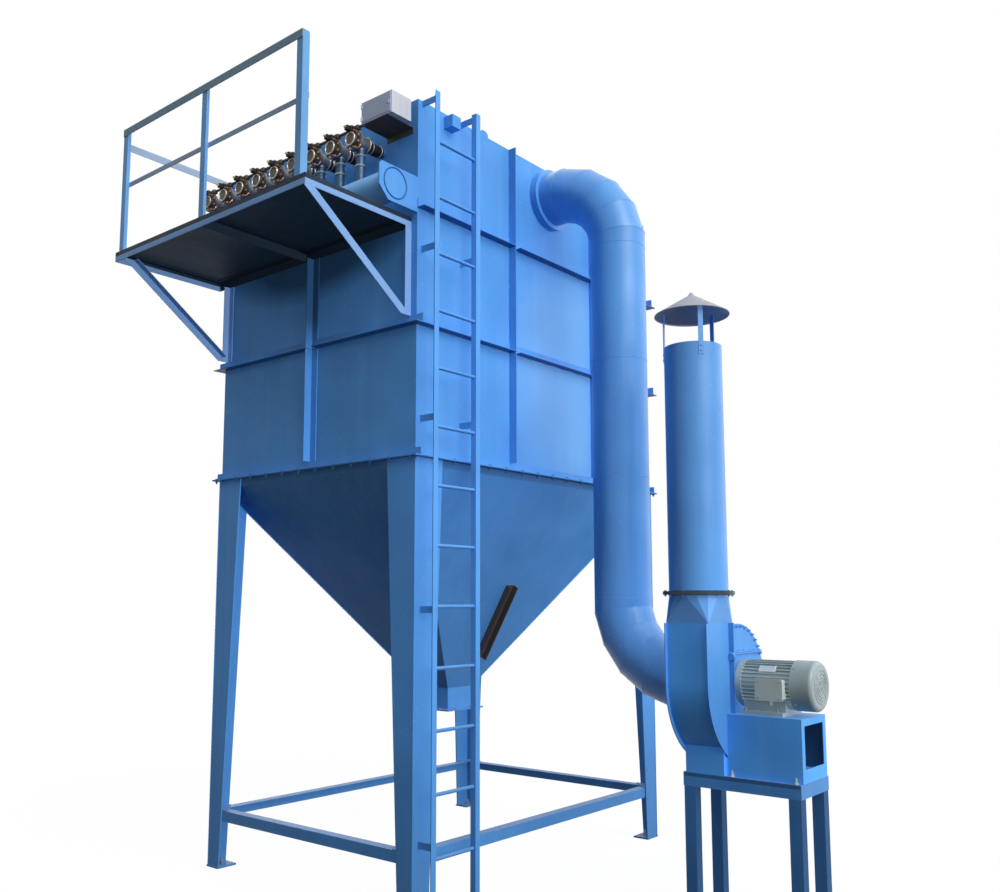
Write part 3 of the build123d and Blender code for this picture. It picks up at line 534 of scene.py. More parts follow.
def add_zone(finish, tint, middle, reach, ceiling, share):
    """Puts a tinted zone over the colour that a finish has."""
    tree = finish.node_tree
    base = tree.nodes["Principled BSDF"].inputs["Base Color"]
    zone = add_node(tree, "Group", {
        "Colour": base.links[0].from_socket, "Tint": (*tint, 1.0), "Middle": middle,
        "Reach": reach, "Ceiling": ceiling, "Share": share}, node_tree=zone_effect)
    tree.links.new(zone["Colour"], base)


wall_enamel = look("wall_enamel", paint_blue)
# The undersides of the horizontal rib legs are painted dark as painted shade.
rib_enamel = look("rib_enamel", paint_blue, shades=[
    (rib_underside_shade, (None, None, level - rib_plate / 2), (None, None, level + rib_plate / 2))
    for level in rib_levels])
sheen_enamel = look("sheen_enamel", paint_blue)
# Painted shadow of the deck on the front wall and its ribs, below the deck only.
add_zone(wall_enamel, deck_shadow_blue, under_deck, wall_shadow_reach, under_deck.z, deck_shadow_share)
add_zone(rib_enamel, deck_shadow_blue, under_deck, rib_shadow_reach, under_deck.z, deck_shadow_share)
# Painted sheen on the right wall.
add_zone(sheen_enamel, sheen_blue, sheen_middle, sheen_reach, far_off, sheen_share)
dress(wall_enamel, "front_wall")
dress(sheen_enamel, "right_wall")
dress(rib_enamel, "front_ribs", "rear_ribs", "side_ribs")
uprights = (-0.453, 0.525)
stitch_length = 0.050
stitch_pitch = 0.200
stitches = bmesh.new()


def add_stitch(x, y, z, along):
    add_round(stitches, (x, y, z), along, bead_radius, stitch_length, 6)


for x in (wall_low.x, wall_high.x):
    for level in rib_levels:
        for y in spaced(wall_low.y + stitch_pitch / 2, wall_high.y - stitch_pitch, stitch_pitch):
            add_stitch(x, y, level, (0, 1, 0))
    for y in uprights:
        for z in spaced(joint_high.z + stitch_pitch, roof_level - stitch_pitch, stitch_pitch):
            add_stitch(x, wall_middle.y + y, z, up)
for x in spaced(wall_low.x + stitch_pitch / 2, wall_high.x - stitch_pitch, stitch_pitch):
    add_stitch(x, wall_low.y, rib_levels[0], (1, 0, 0))
    for level in rib_levels:
        add_stitch(x, wall_high.y, level, (1, 0, 0))
fit("rib_stitches", stitches)

lug_from_corner = 0.645
lug_plate = 0.012
lug_width = 0.085
lug_height = 0.042
lug_rounding = 0.034
lug_middle = roof_level + lug_height / 2
hair = 1e-6
lugs = bmesh.new()
for x, inward in wall_xs:
    for y in (wall_low.y + lug_from_corner, wall_high.y - lug_from_corner):
        made = bmesh.ops.create_cube(
            lugs, size=1.0, matrix=Matrix.Translation((x + inward * lug_plate, y, lug_middle))
            @ Matrix.Diagonal((lug_plate, lug_width, lug_height, 1.0)))
        top_edges = [
            edge for edge in lugs.edges
            if all(vert in made["verts"] and vert.co.z > lug_middle for vert in edge.verts)
            and abs(edge.verts[0].co.y - edge.verts[1].co.y) < hair]
        bmesh.ops.bevel(lugs, geom=top_edges, offset=lug_rounding, segments=5, profile=0.5,
                        affect="EDGES", material=-1)
fit("roof_lugs", lugs)

# Dust inlet. A short spigot of rolled sheet is welded into the far wall, and its drilled flange
# waits for the duct that brings the dusty air. It is painted with the housing.
dress(blue_enamel, "dust_inlet")

# Platform. A dark floor plate with raised lugs on an angle frame, carried by two wall brackets
# with diagonal braces, and a railing of angle iron round it.
dark_deck = look("dark_deck", (0.026, 0.052, 0.080), (0.06, 0.09, 0.11), rough=0.6,
                 runs=0.3, dust=0.55)
dress(dark_deck, "deck_plate")
deck_low, deck_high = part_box("deck_plate")
frame_low, frame_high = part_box("deck_frame")
rail_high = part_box("railing_bars")[1]
pale_blue = (0.230, 0.420, 0.760)
rail_grey = (0.330, 0.440, 0.600)
upright_blue = (0.170, 0.400, 0.740)
shadow_blue = (0.018, 0.034, 0.058)
top_rail_shade_blue = (0.170, 0.280, 0.370)
dark_band = 0.026
edge_plate = 0.012
rail_leg = 0.055
open_corner = (None, None, None)
worn_iron = {"rough": 0.45, "runs": 0.2, "dust": 0.3}
dress(look("frame_enamel", pale_blue, **worn_iron, shades=(
    (shadow_blue, (None, None, frame_high.z - dark_band), open_corner),
    (shadow_blue, (frame_low.x + edge_plate, frame_low.y + edge_plate, None),
     (frame_high.x - edge_plate, None, None)))), "deck_frame")
# The top rail is painted darker than the rails below as painted shade inside its angle.
dress(look("rail_enamel", rail_grey, **worn_iron, shades=(
    (top_rail_shade_blue, (None, None, rail_high.z - rail_leg), open_corner),)), "railing_bars")
dress(look("bracket_enamel", pale_blue, **worn_iron), "platform_brackets")
dress(look("upright_enamel", upright_blue, **worn_iron), "railing_posts")
tread_pitch = 0.055
tread_long = 0.017
tread_top = 0.0119
tread_thin = 0.30
tread_rise = 0.003
tread_turn = radians(45)
tread = bmesh.new()
for row, y in enumerate(spaced(deck_low.y + tread_pitch, deck_high.y - tread_pitch, tread_pitch)):
    for column, x in enumerate(
            spaced(deck_low.x + tread_pitch, deck_high.x - tread_pitch, tread_pitch)):
        turn = tread_turn if (row + column) % 2 else -tread_turn
        bmesh.ops.create_cone(
            tread, cap_ends=True, cap_tris=False, segments=6, radius1=tread_long,
            radius2=tread_top, depth=tread_rise,
            matrix=Matrix.Translation((x, y, deck_high.z + tread_rise / 2))
            @ Matrix.Rotation(turn, 4, "Z") @ Matrix.Diagonal((1.0, tread_thin, 1.0, 1.0)))
fit("deck_lugs", tread, dark_deck)

# Compressed air header. A round tank lies along the wall between two cut plates, and each plate
# shows the ring weld where the tank's end passes through it.
dress(blue_enamel, "header_end_plates")
# The tank gets a paler blue than the housing as a painted highlight on its lit top.
dress(look("tank_lit_enamel", (0.220, 0.530, 0.960), (0.40, 0.56, 0.82), rough=0.42, runs=0.3,
           dust=0.15), "header_tank")
dress(look("pipe_enamel", (0.060, 0.160, 0.330), (0.12, 0.20, 0.30), rough=0.5, runs=0.4,
           dust=0.4), "blow_pipes")
tank_low, tank_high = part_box("header_tank")
tank_middle = (tank_low + tank_high) / 2
tank_radius = (tank_high.z - tank_low.z) / 2
plate_low, plate_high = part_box("header_end_plates")
full_turn = 2 * pi


def bent_bead(radius, bead, steps, sweep=full_turn):
    """A bead bent round Z, to a full ring or to a part of one."""
    part = bmesh.new()
    section = bmesh.ops.create_circle(
        part, cap_ends=False, segments=8, radius=bead,
        matrix=Matrix.Translation((radius, 0, 0)) @ Matrix.Rotation(pi / 2, 4, "X"))
    bmesh.ops.spin(part, geom=section["verts"] + part.edges[:], cent=(0, 0, 0), axis=up,
                   dvec=(0, 0, 0), angle=sweep, steps=steps, use_merge=sweep == full_turn)
    bmesh.ops.remove_doubles(part, verts=part.verts, dist=bead / 20)
    bmesh.ops.recalc_face_normals(part, faces=part.faces)
    return part


def add_ring(mesh, middle, axis, radius, bead, steps):
    add_part(mesh, bent_bead(radius, bead, steps), upright_at(middle, axis))


ring_welds = bmesh.new()
for x, outward in ((plate_low.x, -1), (plate_high.x, 1)):
    add_ring(ring_welds, (x, tank_middle.y, tank_middle.z), (outward, 0, 0), tank_radius,
             bead_radius, 48)
fit("header_ring_welds", ring_welds, seam_and_shade_blue)

# Pulse valves. Right angle diaphragm valves of cast aluminium stand in a row on the tank, each
# with a bolted cover, a black solenoid coil with a brass nut, a bent copper pilot tube and a
# clamped rubber sleeve on its pipe to the wall. A thin steel conduit rides on top of the row.
valve_low, valve_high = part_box("pulse_valves")
cast_grey = (0.17, 0.20, 0.24)
oil_brown = (0.10, 0.075, 0.055)
stub_blue = (0.030, 0.080, 0.150)
stub_drop = 0.130
cover_depth = 0.040
dress(look(
    "valve_aluminium", cast_grey, oil_brown, rough=0.45, runs=0.8, dust=0.3, metal=0.45,
    shine=0.5, waves=0.4, shades=(
        (oil_brown, open_corner, (None, valve_low.y + cover_depth, None)),
        (stub_blue, open_corner, (None, None, valve_high.z - stub_drop)))), "pulse_valves")
bare_metal = {"shine": 0.5, "waves": 0.0}
bright_casting = look(
    "bright_casting", (0.50, 0.47, 0.43), (0.20, 0.15, 0.10), runs=0.7, dust=0.2, metal=0.6,
    **bare_metal)
coil_resin = look("coil_resin", (0.020, 0.020, 0.022), (0.06, 0.06, 0.06), rough=0.5,
                  runs=0.3, dust=0.3)
brass = look("brass_nuts", (0.52, 0.36, 0.15), (0.25, 0.15, 0.07), rough=0.35,
             runs=0.5, dust=0.1, metal=0.9, **bare_metal)
copper = look("copper_tube", (0.32, 0.16, 0.09), (0.16, 0.09, 0.06), rough=0.38,
              runs=0.6, dust=0.1, metal=0.85, **bare_metal)
valve_count = 9
valve_rim = 0.066
valve_pitch = (valve_high.x - valve_low.x - valve_rim * 2) / (valve_count - 1)
pilot_top = 0.082
pilot_reach = 0.095
first_valve = Vector((valve_low.x + valve_rim, valve_low.y + pilot_reach, valve_high.z - pilot_top))
cover_bolt_count = 8
cover_bolt = 0.0065
cover_circle = 0.055
cover_face = 0.066
pipe_low, pipe_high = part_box("blow_pipes")
sleeve_y = (pipe_low.y + pipe_high.y) / 2 - first_valve.y
conduit_off = Vector((-valve_rim, -0.030, 0.092))
conduit_radius = 0.009
tube_off = Vector((0.050, -0.100, -0.020))
tube_radius = 0.006
tube_bend = 0.055
tube_sweep = pi * 1.2
tube_lean = radians(-20)
ahead = (0, -1, 0)
back = (0, 1, 0)
covers, coils, coil_nuts, clamps, sleeves, conduit, tubes = (bmesh.new() for piece in range(7))
valve_blocks = (  # mesh, place on the valve, size, edge
    (coils, (0, -0.078, 0.060), (0.046, 0.044, 0.036), 0.004),
    (coils, (0, -0.112, 0.060), (0.030, 0.028, 0.030), 0.003),
    (conduit, (0, -0.030, 0.092), (0.044, 0.032, 0.030), 0.006),
)
valve_rounds = (  # mesh, seat on the valve, direction, radius, length, sides
    (coil_nuts, (0, -0.078, 0.078), up, 0.013, 0.010, 6),
    (coil_nuts, (0, -0.126, 0.060), ahead, 0.008, 0.014, 6),
    (sleeves, (0, sleeve_y - 0.050, 0), back, 0.037, 0.100, 24),
    (conduit, (0, -0.030, 0.045), up, 0.010, 0.047, 12),
)
valve_rings = (  # mesh, place on the valve, axis, radius, bead, steps
    (covers, (0, 0.040, 0), back, 0.049, 0.006, 32),
    (covers, (0, -0.090, 0), back, 0.040, 0.005, 32),
    (clamps, (0, 0, -0.085), up, 0.030, 0.006, 24),
    (clamps, (0, 0, -0.150), up, 0.030, 0.006, 24),
    (clamps, (0, 0.090, 0), back, 0.029, 0.006, 24),
    (clamps, (0, sleeve_y - 0.036, 0), back, 0.037, 0.004, 24),
    (clamps, (0, sleeve_y + 0.036, 0), back, 0.037, 0.004, 24),
)


def add_block(mesh, middle, size, edge, segments=1):
    """A small block with rounded edges."""
    made = bmesh.ops.create_cube(mesh, size=1.0, matrix=Matrix.Translation(middle)
                                 @ Matrix.Diagonal((*size, 1.0)))
    edges = dict.fromkeys(line for vert in made["verts"] for line in vert.link_edges)
    bmesh.ops.bevel(mesh, geom=list(edges), offset=edge, segments=segments, profile=0.5,
                    affect="EDGES", material=-1)


def circle(count, first=0.0):
    """Cosine and sine of even places round a circle."""
    angles = [first + full_turn * step / count for step in range(count)]
    return [(cos(angle), sin(angle)) for angle in angles]


for step in range(valve_count):
    valve = first_valve + Vector((valve_pitch * step, 0, 0))
    for across, rise in circle(cover_bolt_count, pi / cover_bolt_count):
        seat = valve + Vector((cover_circle * across, -cover_face, cover_circle * rise))
        add_bolt(covers, seat, ahead, cover_bolt)
    for mesh, off, size, edge in valve_blocks:
        add_block(mesh, valve + Vector(off), size, edge, 2)
    for mesh, off, direction, radius, length, sides in valve_rounds:
        add_round(mesh, valve + Vector(off), direction, radius, length, sides)
    for mesh, off, axis, radius, bead, steps in valve_rings:
        add_ring(mesh, valve + Vector(off), axis, radius, bead, steps)
    add_part(tubes, bent_bead(tube_bend, tube_radius, 16, tube_sweep),
             Matrix.Translation(valve + tube_off) @ Matrix.Rotation(pi / 2, 4, "Y")
             @ Matrix.Rotation(tube_lean, 4, "Z"))
add_round(conduit, first_valve + conduit_off, (1, 0, 0), conduit_radius,
          valve_high.x - valve_low.x, 16)
fit("pilot_tubes", tubes, copper)
fit("pipe_sleeves", sleeves, coil_resin)
fit("coil_conduit", conduit, weathered_steel)
fit("valve_cover_bolts", covers, bright_casting)
fit("solenoid_coils", coils, coil_resin)
fit("coil_nuts", coil_nuts, brass)
fit("pipe_clamps", clamps, zinc)

# Control box. A pale grey sheet steel case with a door on its front stands on a dark bracket at
# the end of the valve row. Its door has two hinges and one turn lock, and carries no plate.
case_low, case_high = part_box("control_box")
case_middle = (case_low + case_high) / 2
door_inset = 0.010
door_plate = 0.004
door_edge = 0.0015
hinge_off = 0.040
hinge_proud = 0.005
hinge_radius = 0.006
hinge_length = 0.024
lock_inset = 0.030
lock_radius = 0.011
lock_proud = 0.006
case_grey = (0.60, 0.62, 0.67)
front_shade_grey = (0.54, 0.60, 0.77)
# The front face and the door get a bluer grey than the sides as painted shade.
control_grey = look(
    "control_grey", case_grey, (0.42, 0.42, 0.45), rough=0.45, runs=0.4, dust=0.4,
    shades=((front_shade_grey, open_corner, (None, case_low.y + door_plate, None)),))
dress(control_grey, "control_box")
dress(weathered_steel, "control_bracket")


def add_slab(mesh, low, high, edge):
    """A block between two corners."""
    low, high = Vector(low), Vector(high)
    add_block(mesh, (low + high) / 2, high - low, edge)


door = bmesh.new()
add_slab(door, (case_low.x + door_inset, case_low.y - door_plate, case_low.z + door_inset),
         (case_high.x - door_inset, case_low.y, case_high.z - door_inset), door_edge)
for z in (case_middle.z - hinge_off, case_middle.z + hinge_off):
    seat = (case_low.x + door_inset, case_low.y - hinge_proud, z - hinge_length / 2)
    add_round(door, seat, up, hinge_radius, hinge_length, 10)
add_round(door, (case_high.x - lock_inset, case_low.y - door_plate, case_middle.z), ahead,
          lock_radius, lock_proud, 16)
fit("control_door", door, control_grey)

# End rail cleat. A short flat bar welded across the corner of the wall takes the free end of the
# railing's end rail, so that the rail is held at both of its ends.
rail_off_side = 0.045
rail_off_front = 0.050
rail_ends = [vert.co for vert in nodes["railing_bars"].data.vertices
             if vert.co.x < wall_low.x - rail_off_side and vert.co.y > wall_low.y - rail_off_front]
cleat_plate = 0.006
cleat_edge = 0.001
cleat_below_rail = 0.020
cleat_lap = 0.005
roof_gap = 0.002
cleat_right = wall_low.x + 0.045
cleat_left = max(spot.x for spot in rail_ends) - cleat_lap
cleat_low = min(spot.z for spot in rail_ends) - cleat_below_rail
cleat_top = roof_level - roof_gap
cleat = bmesh.new()
add_slab(cleat, (cleat_left, wall_low.y - cleat_plate, cleat_low),
         (cleat_right, wall_low.y, cleat_top), cleat_edge)
fit("end_rail_cleat", cleat)

# Ladder. Two angle stiles and round rungs, welded up in one piece and held off the wall by flat
# stays. The stiles catch the most light, and their brighter blue is a painted highlight.
dress(blue_enamel, "ladder_rungs", "ladder_stays")
stile_highlight_blue = (0.120, 0.390, 0.880)
dress(look("stile_highlight_enamel", stile_highlight_blue, rough=0.42), "ladder_stiles")

# Clean air duct. Rolled sheet with mitred bends: a flat ground weld runs round every mitre and
# round the riser. A deep collar joins it to the wall and a bolted ring to the fan.
glossy = {"rough": 0.34, "runs": 0.12, "dust": 0.3, "shine": 0.45}
duct_enamel = look("duct_enamel", paint_blue, **glossy)
dress(duct_enamel, "duct_upper_bend", "duct_riser", "duct_lower_bend")
riser_low, riser_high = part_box("duct_riser")
riser_middle = (riser_low + riser_high) / 2
riser_lengths = 3
duct_radius = (riser_high.x - riser_low.x) / 2
collar_radius = 0.215
duct_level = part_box("duct_upper_bend")[1].z - collar_radius
bend_radius = duct_level - riser_high.z
bend_cuts = 5
turn_step = radians(90 / bend_cuts)
mitre = cos(turn_step / 2)
seam_bead = 0.0018
seam_steps = 64
seams = bmesh.new()
for centre, first_angle, direction in (
    (Vector((riser_middle.x - bend_radius, riser_middle.y, riser_high.z)), pi / 2, -1),
    (Vector((riser_middle.x + bend_radius, riser_middle.y, riser_low.z)), pi, 1),
):
    for cut in range(bend_cuts):
        angle = first_angle + direction * turn_step * (cut + 0.5)
        radial = Vector((cos(angle), 0, sin(angle)))
        corner = centre + radial * (bend_radius / mitre)
        add_part(seams, bent_bead(duct_radius, seam_bead, seam_steps), Matrix((
            (radial.x / mitre, 0, radial.z, corner.x),
            (0, 1, 0, corner.y),
            (radial.z / mitre, 0, -radial.x, corner.z),
            (0, 0, 0, 1),
        )))
for z in spaced(riser_low.z, riser_high.z, (riser_high.z - riser_low.z) / riser_lengths):
    add_part(seams, bent_bead(duct_radius, seam_bead, seam_steps),
             Matrix.Translation((riser_middle.x, riser_middle.y, z)))
bmesh.ops.recalc_face_normals(seams, faces=seams.faces)
fit("duct_seams", seams, duct_enamel)

ring_plate = 0.010
ring_circle = 0.203
ring_bolt_count = 12
ring_bolt_size = 0.008
fan_y = riser_middle.y
fan_level = riser_low.z - bend_radius
fan_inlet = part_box("duct_lower_bend")[1].x
collar_bolts = bmesh.new()
for across, rise in circle(ring_bolt_count, pi / ring_bolt_count):
    seat = (fan_inlet - ring_plate, fan_y + ring_circle * across, fan_level + ring_circle * rise)
    add_bolt(collar_bolts, seat, (-1, 0, 0), ring_bolt_size)
fit("duct_ring_bolts", collar_bolts)

# Fan casing. A scroll of rolled sheet between two side plates whose rims stand proud. Bolts go
# through the rims, a flat bar stiffens the drive side and a split flange crosses it.
# Painted light: the scroll, saddle and pedestal get a brighter blue than the housing and no
# darkening towards the ground, for the open sky round the fan.
fan_lit_blue = (0.105, 0.430, 1.000)
fan_lit_enamel = look("fan_lit_enamel", fan_lit_blue, rough=0.38, runs=0.12, dust=0.3, ground_shade=0.0)
dress(fan_lit_enamel, "fan_scroll", "fan_saddle")
dress(blue_enamel, "fan_side_plates")
saddle_low, saddle_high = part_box("fan_saddle")
inlet_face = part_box("fan_side_plates")[0].x
drive_face = saddle_high.x + 0.014
rim_circle = 0.332
rim_bolt_count = 13
rim_bolt = (0.009, 0.010)
rim_first = -8
rim_step = 9.2
rim_bolts = bmesh.new()
for step in range(rim_bolt_count):
    angle = radians(rim_first + rim_step * step)
    for x, outward in ((drive_face, 1), (inlet_face, -1)):
        seat = (x, fan_y + rim_circle * cos(angle), fan_level + rim_circle * sin(angle))
        add_bolt(rim_bolts, seat, (outward, 0, 0), *rim_bolt)
fit("scroll_rim_bolts", rim_bolts)

closer_plate = 0.010
closer_height = 0.070
closer_inset = 0.006
closer_rise = 0.010
closer_edge = 0.001
at_edge = 0.001
closers = bmesh.new()
for edge, inward in ((saddle_low.y, 1), (saddle_high.y, -1)):
    top = max(vert.co.z for vert in nodes["fan_saddle"].data.vertices
              if abs(vert.co.y - edge) < at_edge)
    add_block(closers, ((saddle_low.x + saddle_high.x) / 2, edge + inward * closer_inset,
                        top + closer_rise),
              (saddle_high.x - saddle_low.x, closer_plate, closer_height), closer_edge)
fit("saddle_closing_plates", closers, fan_lit_enamel)

split_z = fan_level + 0.175
split_gap = 0.0045
split_size = (0.022, 0.400, 0.007)
split_middle = 0.085
split_edge = 0.0015
split_bolts = (-0.09, 0.26, 0.07)  # first, last, pitch
split_bolt_out = 0.013
split_bolt_size = 0.006
split_top = 0.008
boss_off = Vector((0.018, -0.125, -0.02))
boss_radius = 0.026
boss_tip = 0.022
boss_length = 0.014
split = bmesh.new()
for rise in (-split_gap, split_gap):
    add_block(split, (drive_face + split_size[0] / 2, fan_y + split_middle, split_z + rise),
              split_size, split_edge)
for along in spaced(*split_bolts):
    seat = (drive_face + split_bolt_out, fan_y + along, split_z + split_top)
    add_bolt(split, seat, up, split_bolt_size)
add_round(split, Vector((drive_face, fan_y, split_z)) + boss_off, ahead, boss_radius,
          boss_length, 24, boss_tip)
fit("casing_split_flange", split)

# Throat and stack. A folded square to round piece bolts to the stack's flange, and a plain
# rolled pipe carries the air up to a rain cap of faded grey sheet on three flat struts.
stack_low, stack_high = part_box("stack")
stack_middle = (stack_low + stack_high) / 2
flange_shadow_band = 0.014
# A dark band round the stack's flange, above and below it, is painted shade.
stack_enamel = look("stack_enamel", paint_blue, **glossy, shades=(
    (shadow_blue, (None, None, stack_low.z - flange_shadow_band),
     (None, None, stack_low.z + flange_shadow_band)),))
dress(stack_enamel, "throat_transition", "stack", "cap_struts")
flange_circle = 0.194
flange_bolt_count = 12
flange_bolt = 0.007
flange_thread = 0.006
flange_ring = 0.010
stack_bolts = bmesh.new()
for east, north in circle(flange_bolt_count):
    x = stack_middle.x + flange_circle * east
    y = stack_middle.y + flange_circle * north
    add_bolt(stack_bolts, (x, y, stack_low.z + flange_ring), up, flange_bolt)
    add_bolt(stack_bolts, (x, y, stack_low.z - flange_ring), down, flange_bolt, flange_thread)
stack_radius = 0.173
strut_plate = 0.0055
strut_count = 3
strut_turn = radians(-46)
strut_bolt_drops = (0.025, 0.058)
strut_bolt_size = 0.006
for east, north in circle(strut_count, strut_turn):
    out = Vector((east, north, 0))
    seat = stack_middle + out * (stack_radius + strut_plate)
    for drop in strut_bolt_drops:
        add_bolt(stack_bolts, (seat.x, seat.y, stack_high.z - drop), out, strut_bolt_size)
fit("stack_bolts", stack_bolts, stack_enamel)

cap_steel = look("cap_steel", (0.43, 0.45, 0.52), (0.30, 0.31, 0.36), rough=0.5,
                 runs=0.3, dust=0.5)
dress(cap_steel, "rain_cap")
cap_low, cap_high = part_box("rain_cap")
cap_middle = (cap_low + cap_high) / 2
cap_radius = (cap_high.x - cap_low.x) / 2
rim_bead = 0.004
tip_sunk = 0.012
tip_radius = 0.020
tip_top = 0.008
tip_height = 0.018
cap_rim = bmesh.new()
add_part(cap_rim, bent_bead(cap_radius - rim_bead / 2, rim_bead, 72),
         Matrix.Translation((cap_middle.x, cap_middle.y, cap_low.z)))
add_round(cap_rim, (cap_middle.x, cap_middle.y, cap_high.z - tip_sunk), up, tip_radius,
          tip_height, 24, tip_top)
fit("cap_rolled_rim", cap_rim, cap_steel)

# Motor. A cast iron frame with cooling fins and a sheet steel fan cowl, in grey green machine
# enamel, with a terminal box on its side and a bare plate above it.
machine = {"shine": 0.4, "waves": 0.2}
dress(look("motor_grey", (0.44, 0.54, 0.53), (0.50, 0.57, 0.55), rough=0.42, runs=0.5,
           dust=0.5, **machine), "motor")
cowl_grey = look("cowl_grey", (0.37, 0.46, 0.46), (0.46, 0.53, 0.52), rough=0.38,
                 runs=0.4, dust=0.4, **machine)
dress(cowl_grey, "motor_cowl")
dress(look("box_grey", (0.62, 0.70, 0.66), (0.54, 0.60, 0.57), runs=0.4, dust=0.4,
           **machine), "terminal_box")
cowl_low, cowl_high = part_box("motor_cowl")
cowl_middle = (cowl_low + cowl_high) / 2
cowl_radius = 0.143
cowl_screw_inset = 0.018
screw_size = 0.005
grille_rings = (0.035, 0.055, 0.075, 0.095)
grille_wire = 0.003
grille_bar = 0.0025
grille_bar_count = 4
grille_reach = 0.100
grille_middle = Vector((cowl_high.x, cowl_middle.y, cowl_middle.z))
grille = bmesh.new()
for radius in grille_rings:
    add_ring(grille, grille_middle, (1, 0, 0), radius, grille_wire, 40)
for step in range(grille_bar_count):
    angle = pi / grille_bar_count * step
    across = Vector((0, cos(angle), sin(angle)))
    add_round(grille, grille_middle - across * grille_reach, across, grille_bar,
              grille_reach * 2, 8)
for across, rise in circle(4, pi / 4):
    out = Vector((0, across, rise))
    middle = Vector((cowl_low.x + cowl_screw_inset, cowl_middle.y, cowl_middle.z))
    add_bolt(grille, middle + out * cowl_radius, out, screw_size)
fit("cowl_grille", grille, cowl_grey)

box_low, box_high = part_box("terminal_box")
screw_inset = 0.016
gland_inset = 0.030
gland_parts = (  # drop, radius, length, sides, tip
    (-0.006, 0.018, 0.016, 6, 0.018),
    (0.010, 0.015, 0.016, 20, 0.010),
)
foot_ends = (0.270, 0.080)
foot_half = 0.118
foot_bolt_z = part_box("motor")[0].z + 0.022
foot_bolt = (0.009, 0.010)
screws = bmesh.new()
for x in (box_low.x + screw_inset, box_high.x - screw_inset):
    for z in (box_low.z + screw_inset, box_high.z - screw_inset):
        add_bolt(screws, (x, box_low.y, z), ahead, screw_size)
for drop, radius, length, sides, tip in gland_parts:
    seat = ((box_low.x + box_high.x) / 2, box_low.y + gland_inset, box_low.z - drop)
    add_round(screws, seat, down, radius, length, sides, tip)
for behind in foot_ends:
    for y in (cowl_middle.y - foot_half, cowl_middle.y + foot_half):
        add_bolt(screws, (cowl_low.x - behind, y, foot_bolt_z), up, *foot_bolt)
fit("motor_screws", screws, zinc)

plate_tilt = radians(42)
plate_out = Vector((0, -cos(plate_tilt), sin(plate_tilt)))
plate_back = 0.138
plate_radius = 0.141
plate_size = (0.100, 0.042, 0.002)
plate_edge = 0.0008
rivet_x = 0.044
rivet_y = 0.015
rivet_radius = 0.003
rivet_tip = 0.002
rivet_height = 0.002
bare_plate = bmesh.new()
add_block(bare_plate, (0, 0, 0), plate_size, plate_edge)
for x in (-rivet_x, rivet_x):
    for y in (-rivet_y, rivet_y):
        add_round(bare_plate, (x, y, plate_size[2] / 2), up, rivet_radius, rivet_height, 10,
                  rivet_tip)
middle = Vector((cowl_low.x - plate_back, cowl_middle.y, cowl_middle.z)) + plate_out * plate_radius
bmesh.ops.transform(bare_plate, matrix=upright_at(middle, plate_out), verts=bare_plate.verts)
plate_metal = look("plate_metal", (0.78, 0.79, 0.80), (0.55, 0.55, 0.55), rough=0.35,
                   runs=0.3, dust=0.1, metal=0.3, **bare_metal)
fit("motor_plate", bare_plate, plate_metal)

# Pedestal, base and posts. A folded box carries the motor on a channel frame, and four square
# tubes on foot plates carry the frame. Studs with nuts hold the pedestal down.
stand_low, stand_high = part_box("motor_pedestal")
sheet = 0.004
plinth = 0.045
# The inside of the pedestal above the plinth is painted dark as painted shade.
inner_shade_blue = (0.030, 0.090, 0.210)
pedestal_enamel = look("pedestal_enamel", fan_lit_blue, ground_shade=0.0, shades=(
    (inner_shade_blue, (stand_low.x + sheet, stand_low.y + sheet, stand_low.z + plinth),
     (stand_high.x - sheet, stand_high.y - sheet, stand_high.z - sheet)),))
dress(pedestal_enamel, "motor_pedestal")
base_low, base_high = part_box("fan_base_frame")
# A dark stripe under the top edge of the frame's long faces is a painted shadow.
ledge_shadow_band = 0.024
ledge_shadow_blue = (0.035, 0.120, 0.300)
ledge_low = base_high.z - ledge_shadow_band
ledge_top = base_high.z - sheet
dress(look("base_enamel", paint_blue, shades=(
    (ledge_shadow_blue, (None, None, ledge_low), (None, base_low.y + sheet, ledge_top)),
    (ledge_shadow_blue, (None, base_high.y - sheet, ledge_low), (None, None, ledge_top)))),
      "fan_base_frame")
post_low, post_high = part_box("fan_base_posts")
post_half = 0.035
# The posts get a darker blue than the frame, and their right faces darker still, as painted shade
# under the base.
post_shade_blue = (0.060, 0.215, 0.520)
post_side_shade_blue = (0.016, 0.080, 0.205)
post_shade_enamel = look(
    "post_shade_enamel", post_shade_blue, (0.12, 0.28, 0.50), rough=0.5, runs=0.2, dust=0.3, shades=[
        (post_side_shade_blue, (side - sheet / 2, None, None), (side + sheet / 2, None, None))
        for side in (post_low.x + post_half * 2, post_high.x)])
dress(post_shade_enamel, "fan_base_posts")
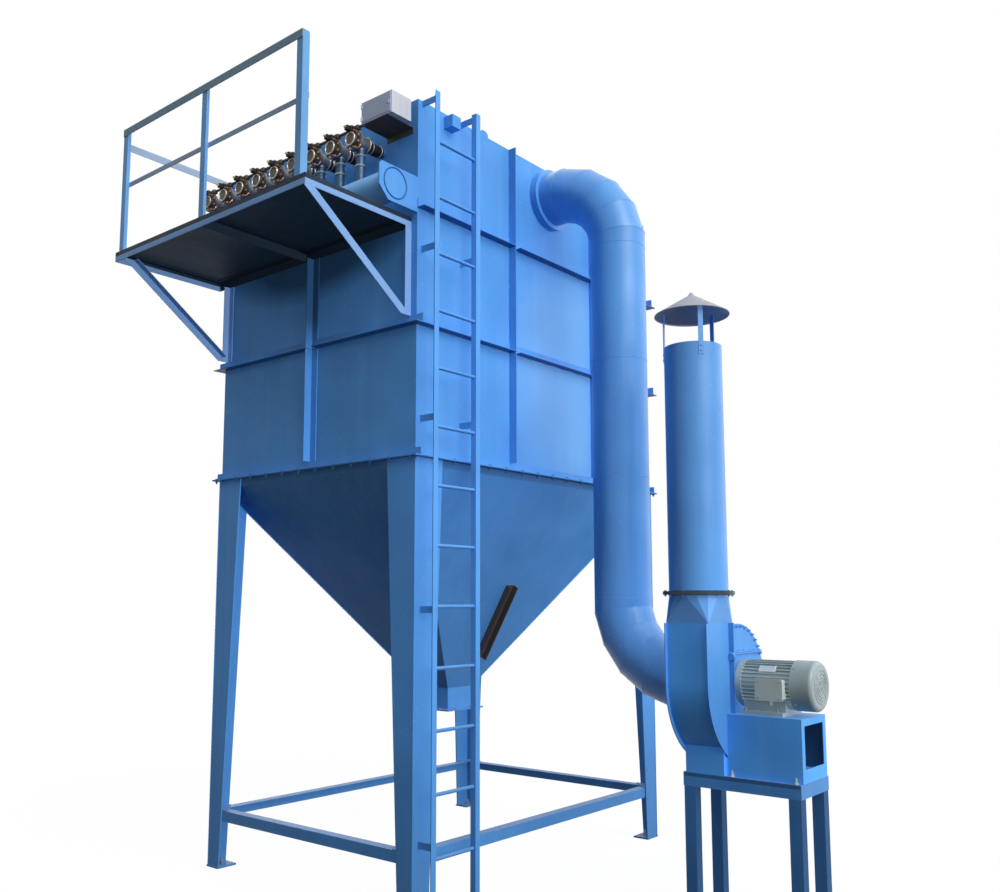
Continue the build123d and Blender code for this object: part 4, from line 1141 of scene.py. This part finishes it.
bright_zinc = look("bright_zinc", (0.66, 0.68, 0.70), (0.40, 0.40, 0.40), runs=0.3,
                   dust=0.1, metal=0.3, **bare_metal)
stud_ledge = 0.012
stud_from_fan = 0.030
stud_from_end = 0.035
stud_bolt = (0.011, 0.024)
studs = bmesh.new()
for x in (stand_low.x + stud_from_fan, stand_high.x - stud_from_end):
    for y in (stand_low.y - stud_ledge, stand_high.y + stud_ledge):
        add_bolt(studs, (x, y, stand_low.z), up, *stud_bolt)
fit("pedestal_studs", studs, bright_zinc)

skirt_height = 0.036
thin_edge = 0.0005
skirt_top = stand_low.z + skirt_height
skirts = bmesh.new()
for y in (stand_low.y, stand_high.y - sheet):
    add_slab(skirts, (stand_low.x, y, stand_low.z), (stand_high.x, y + sheet, skirt_top), thin_edge)
for x in (stand_low.x, stand_high.x - sheet):
    add_slab(skirts, (x, stand_low.y + sheet, stand_low.z),
             (x + sheet, stand_high.y - sheet, skirt_top), thin_edge)
fit("plinth_skirts", skirts, pedestal_enamel)

end_plate = 0.005
end_edge = 0.001
base_top = base_high.z - 0.0005
base_ends = bmesh.new()
add_slab(base_ends, (base_low.x, base_low.y + end_plate / 2, base_top - end_plate),
         (base_high.x, base_high.y - end_plate / 2, base_top), thin_edge)
for x in (base_low.x - end_plate, base_high.x):
    add_slab(base_ends, (x, base_low.y, base_low.z), (x + end_plate, base_high.y, base_high.z),
             end_edge)
fit("base_end_plates", base_ends)

pad_half = 0.060
pad_plate = 0.010
pad_edge = 0.002
pad_bolt_off = 0.048
pad_bolt = (0.007, 0.010)
pads = bmesh.new()
pad_bolts = bmesh.new()
for x in (post_low.x + post_half, post_high.x - post_half):
    for y in (post_low.y + post_half, post_high.y - post_half):
        add_block(pads, (x, y, pad_plate / 2), (pad_half * 2, pad_half * 2, pad_plate), pad_edge)
        for off in (-pad_bolt_off, pad_bolt_off):
            add_bolt(pad_bolts, (x + off, y - off, pad_plate), up, *pad_bolt)
fit("post_pads", pads, post_shade_enamel)
fit("post_pad_bolts", pad_bolts, zinc)
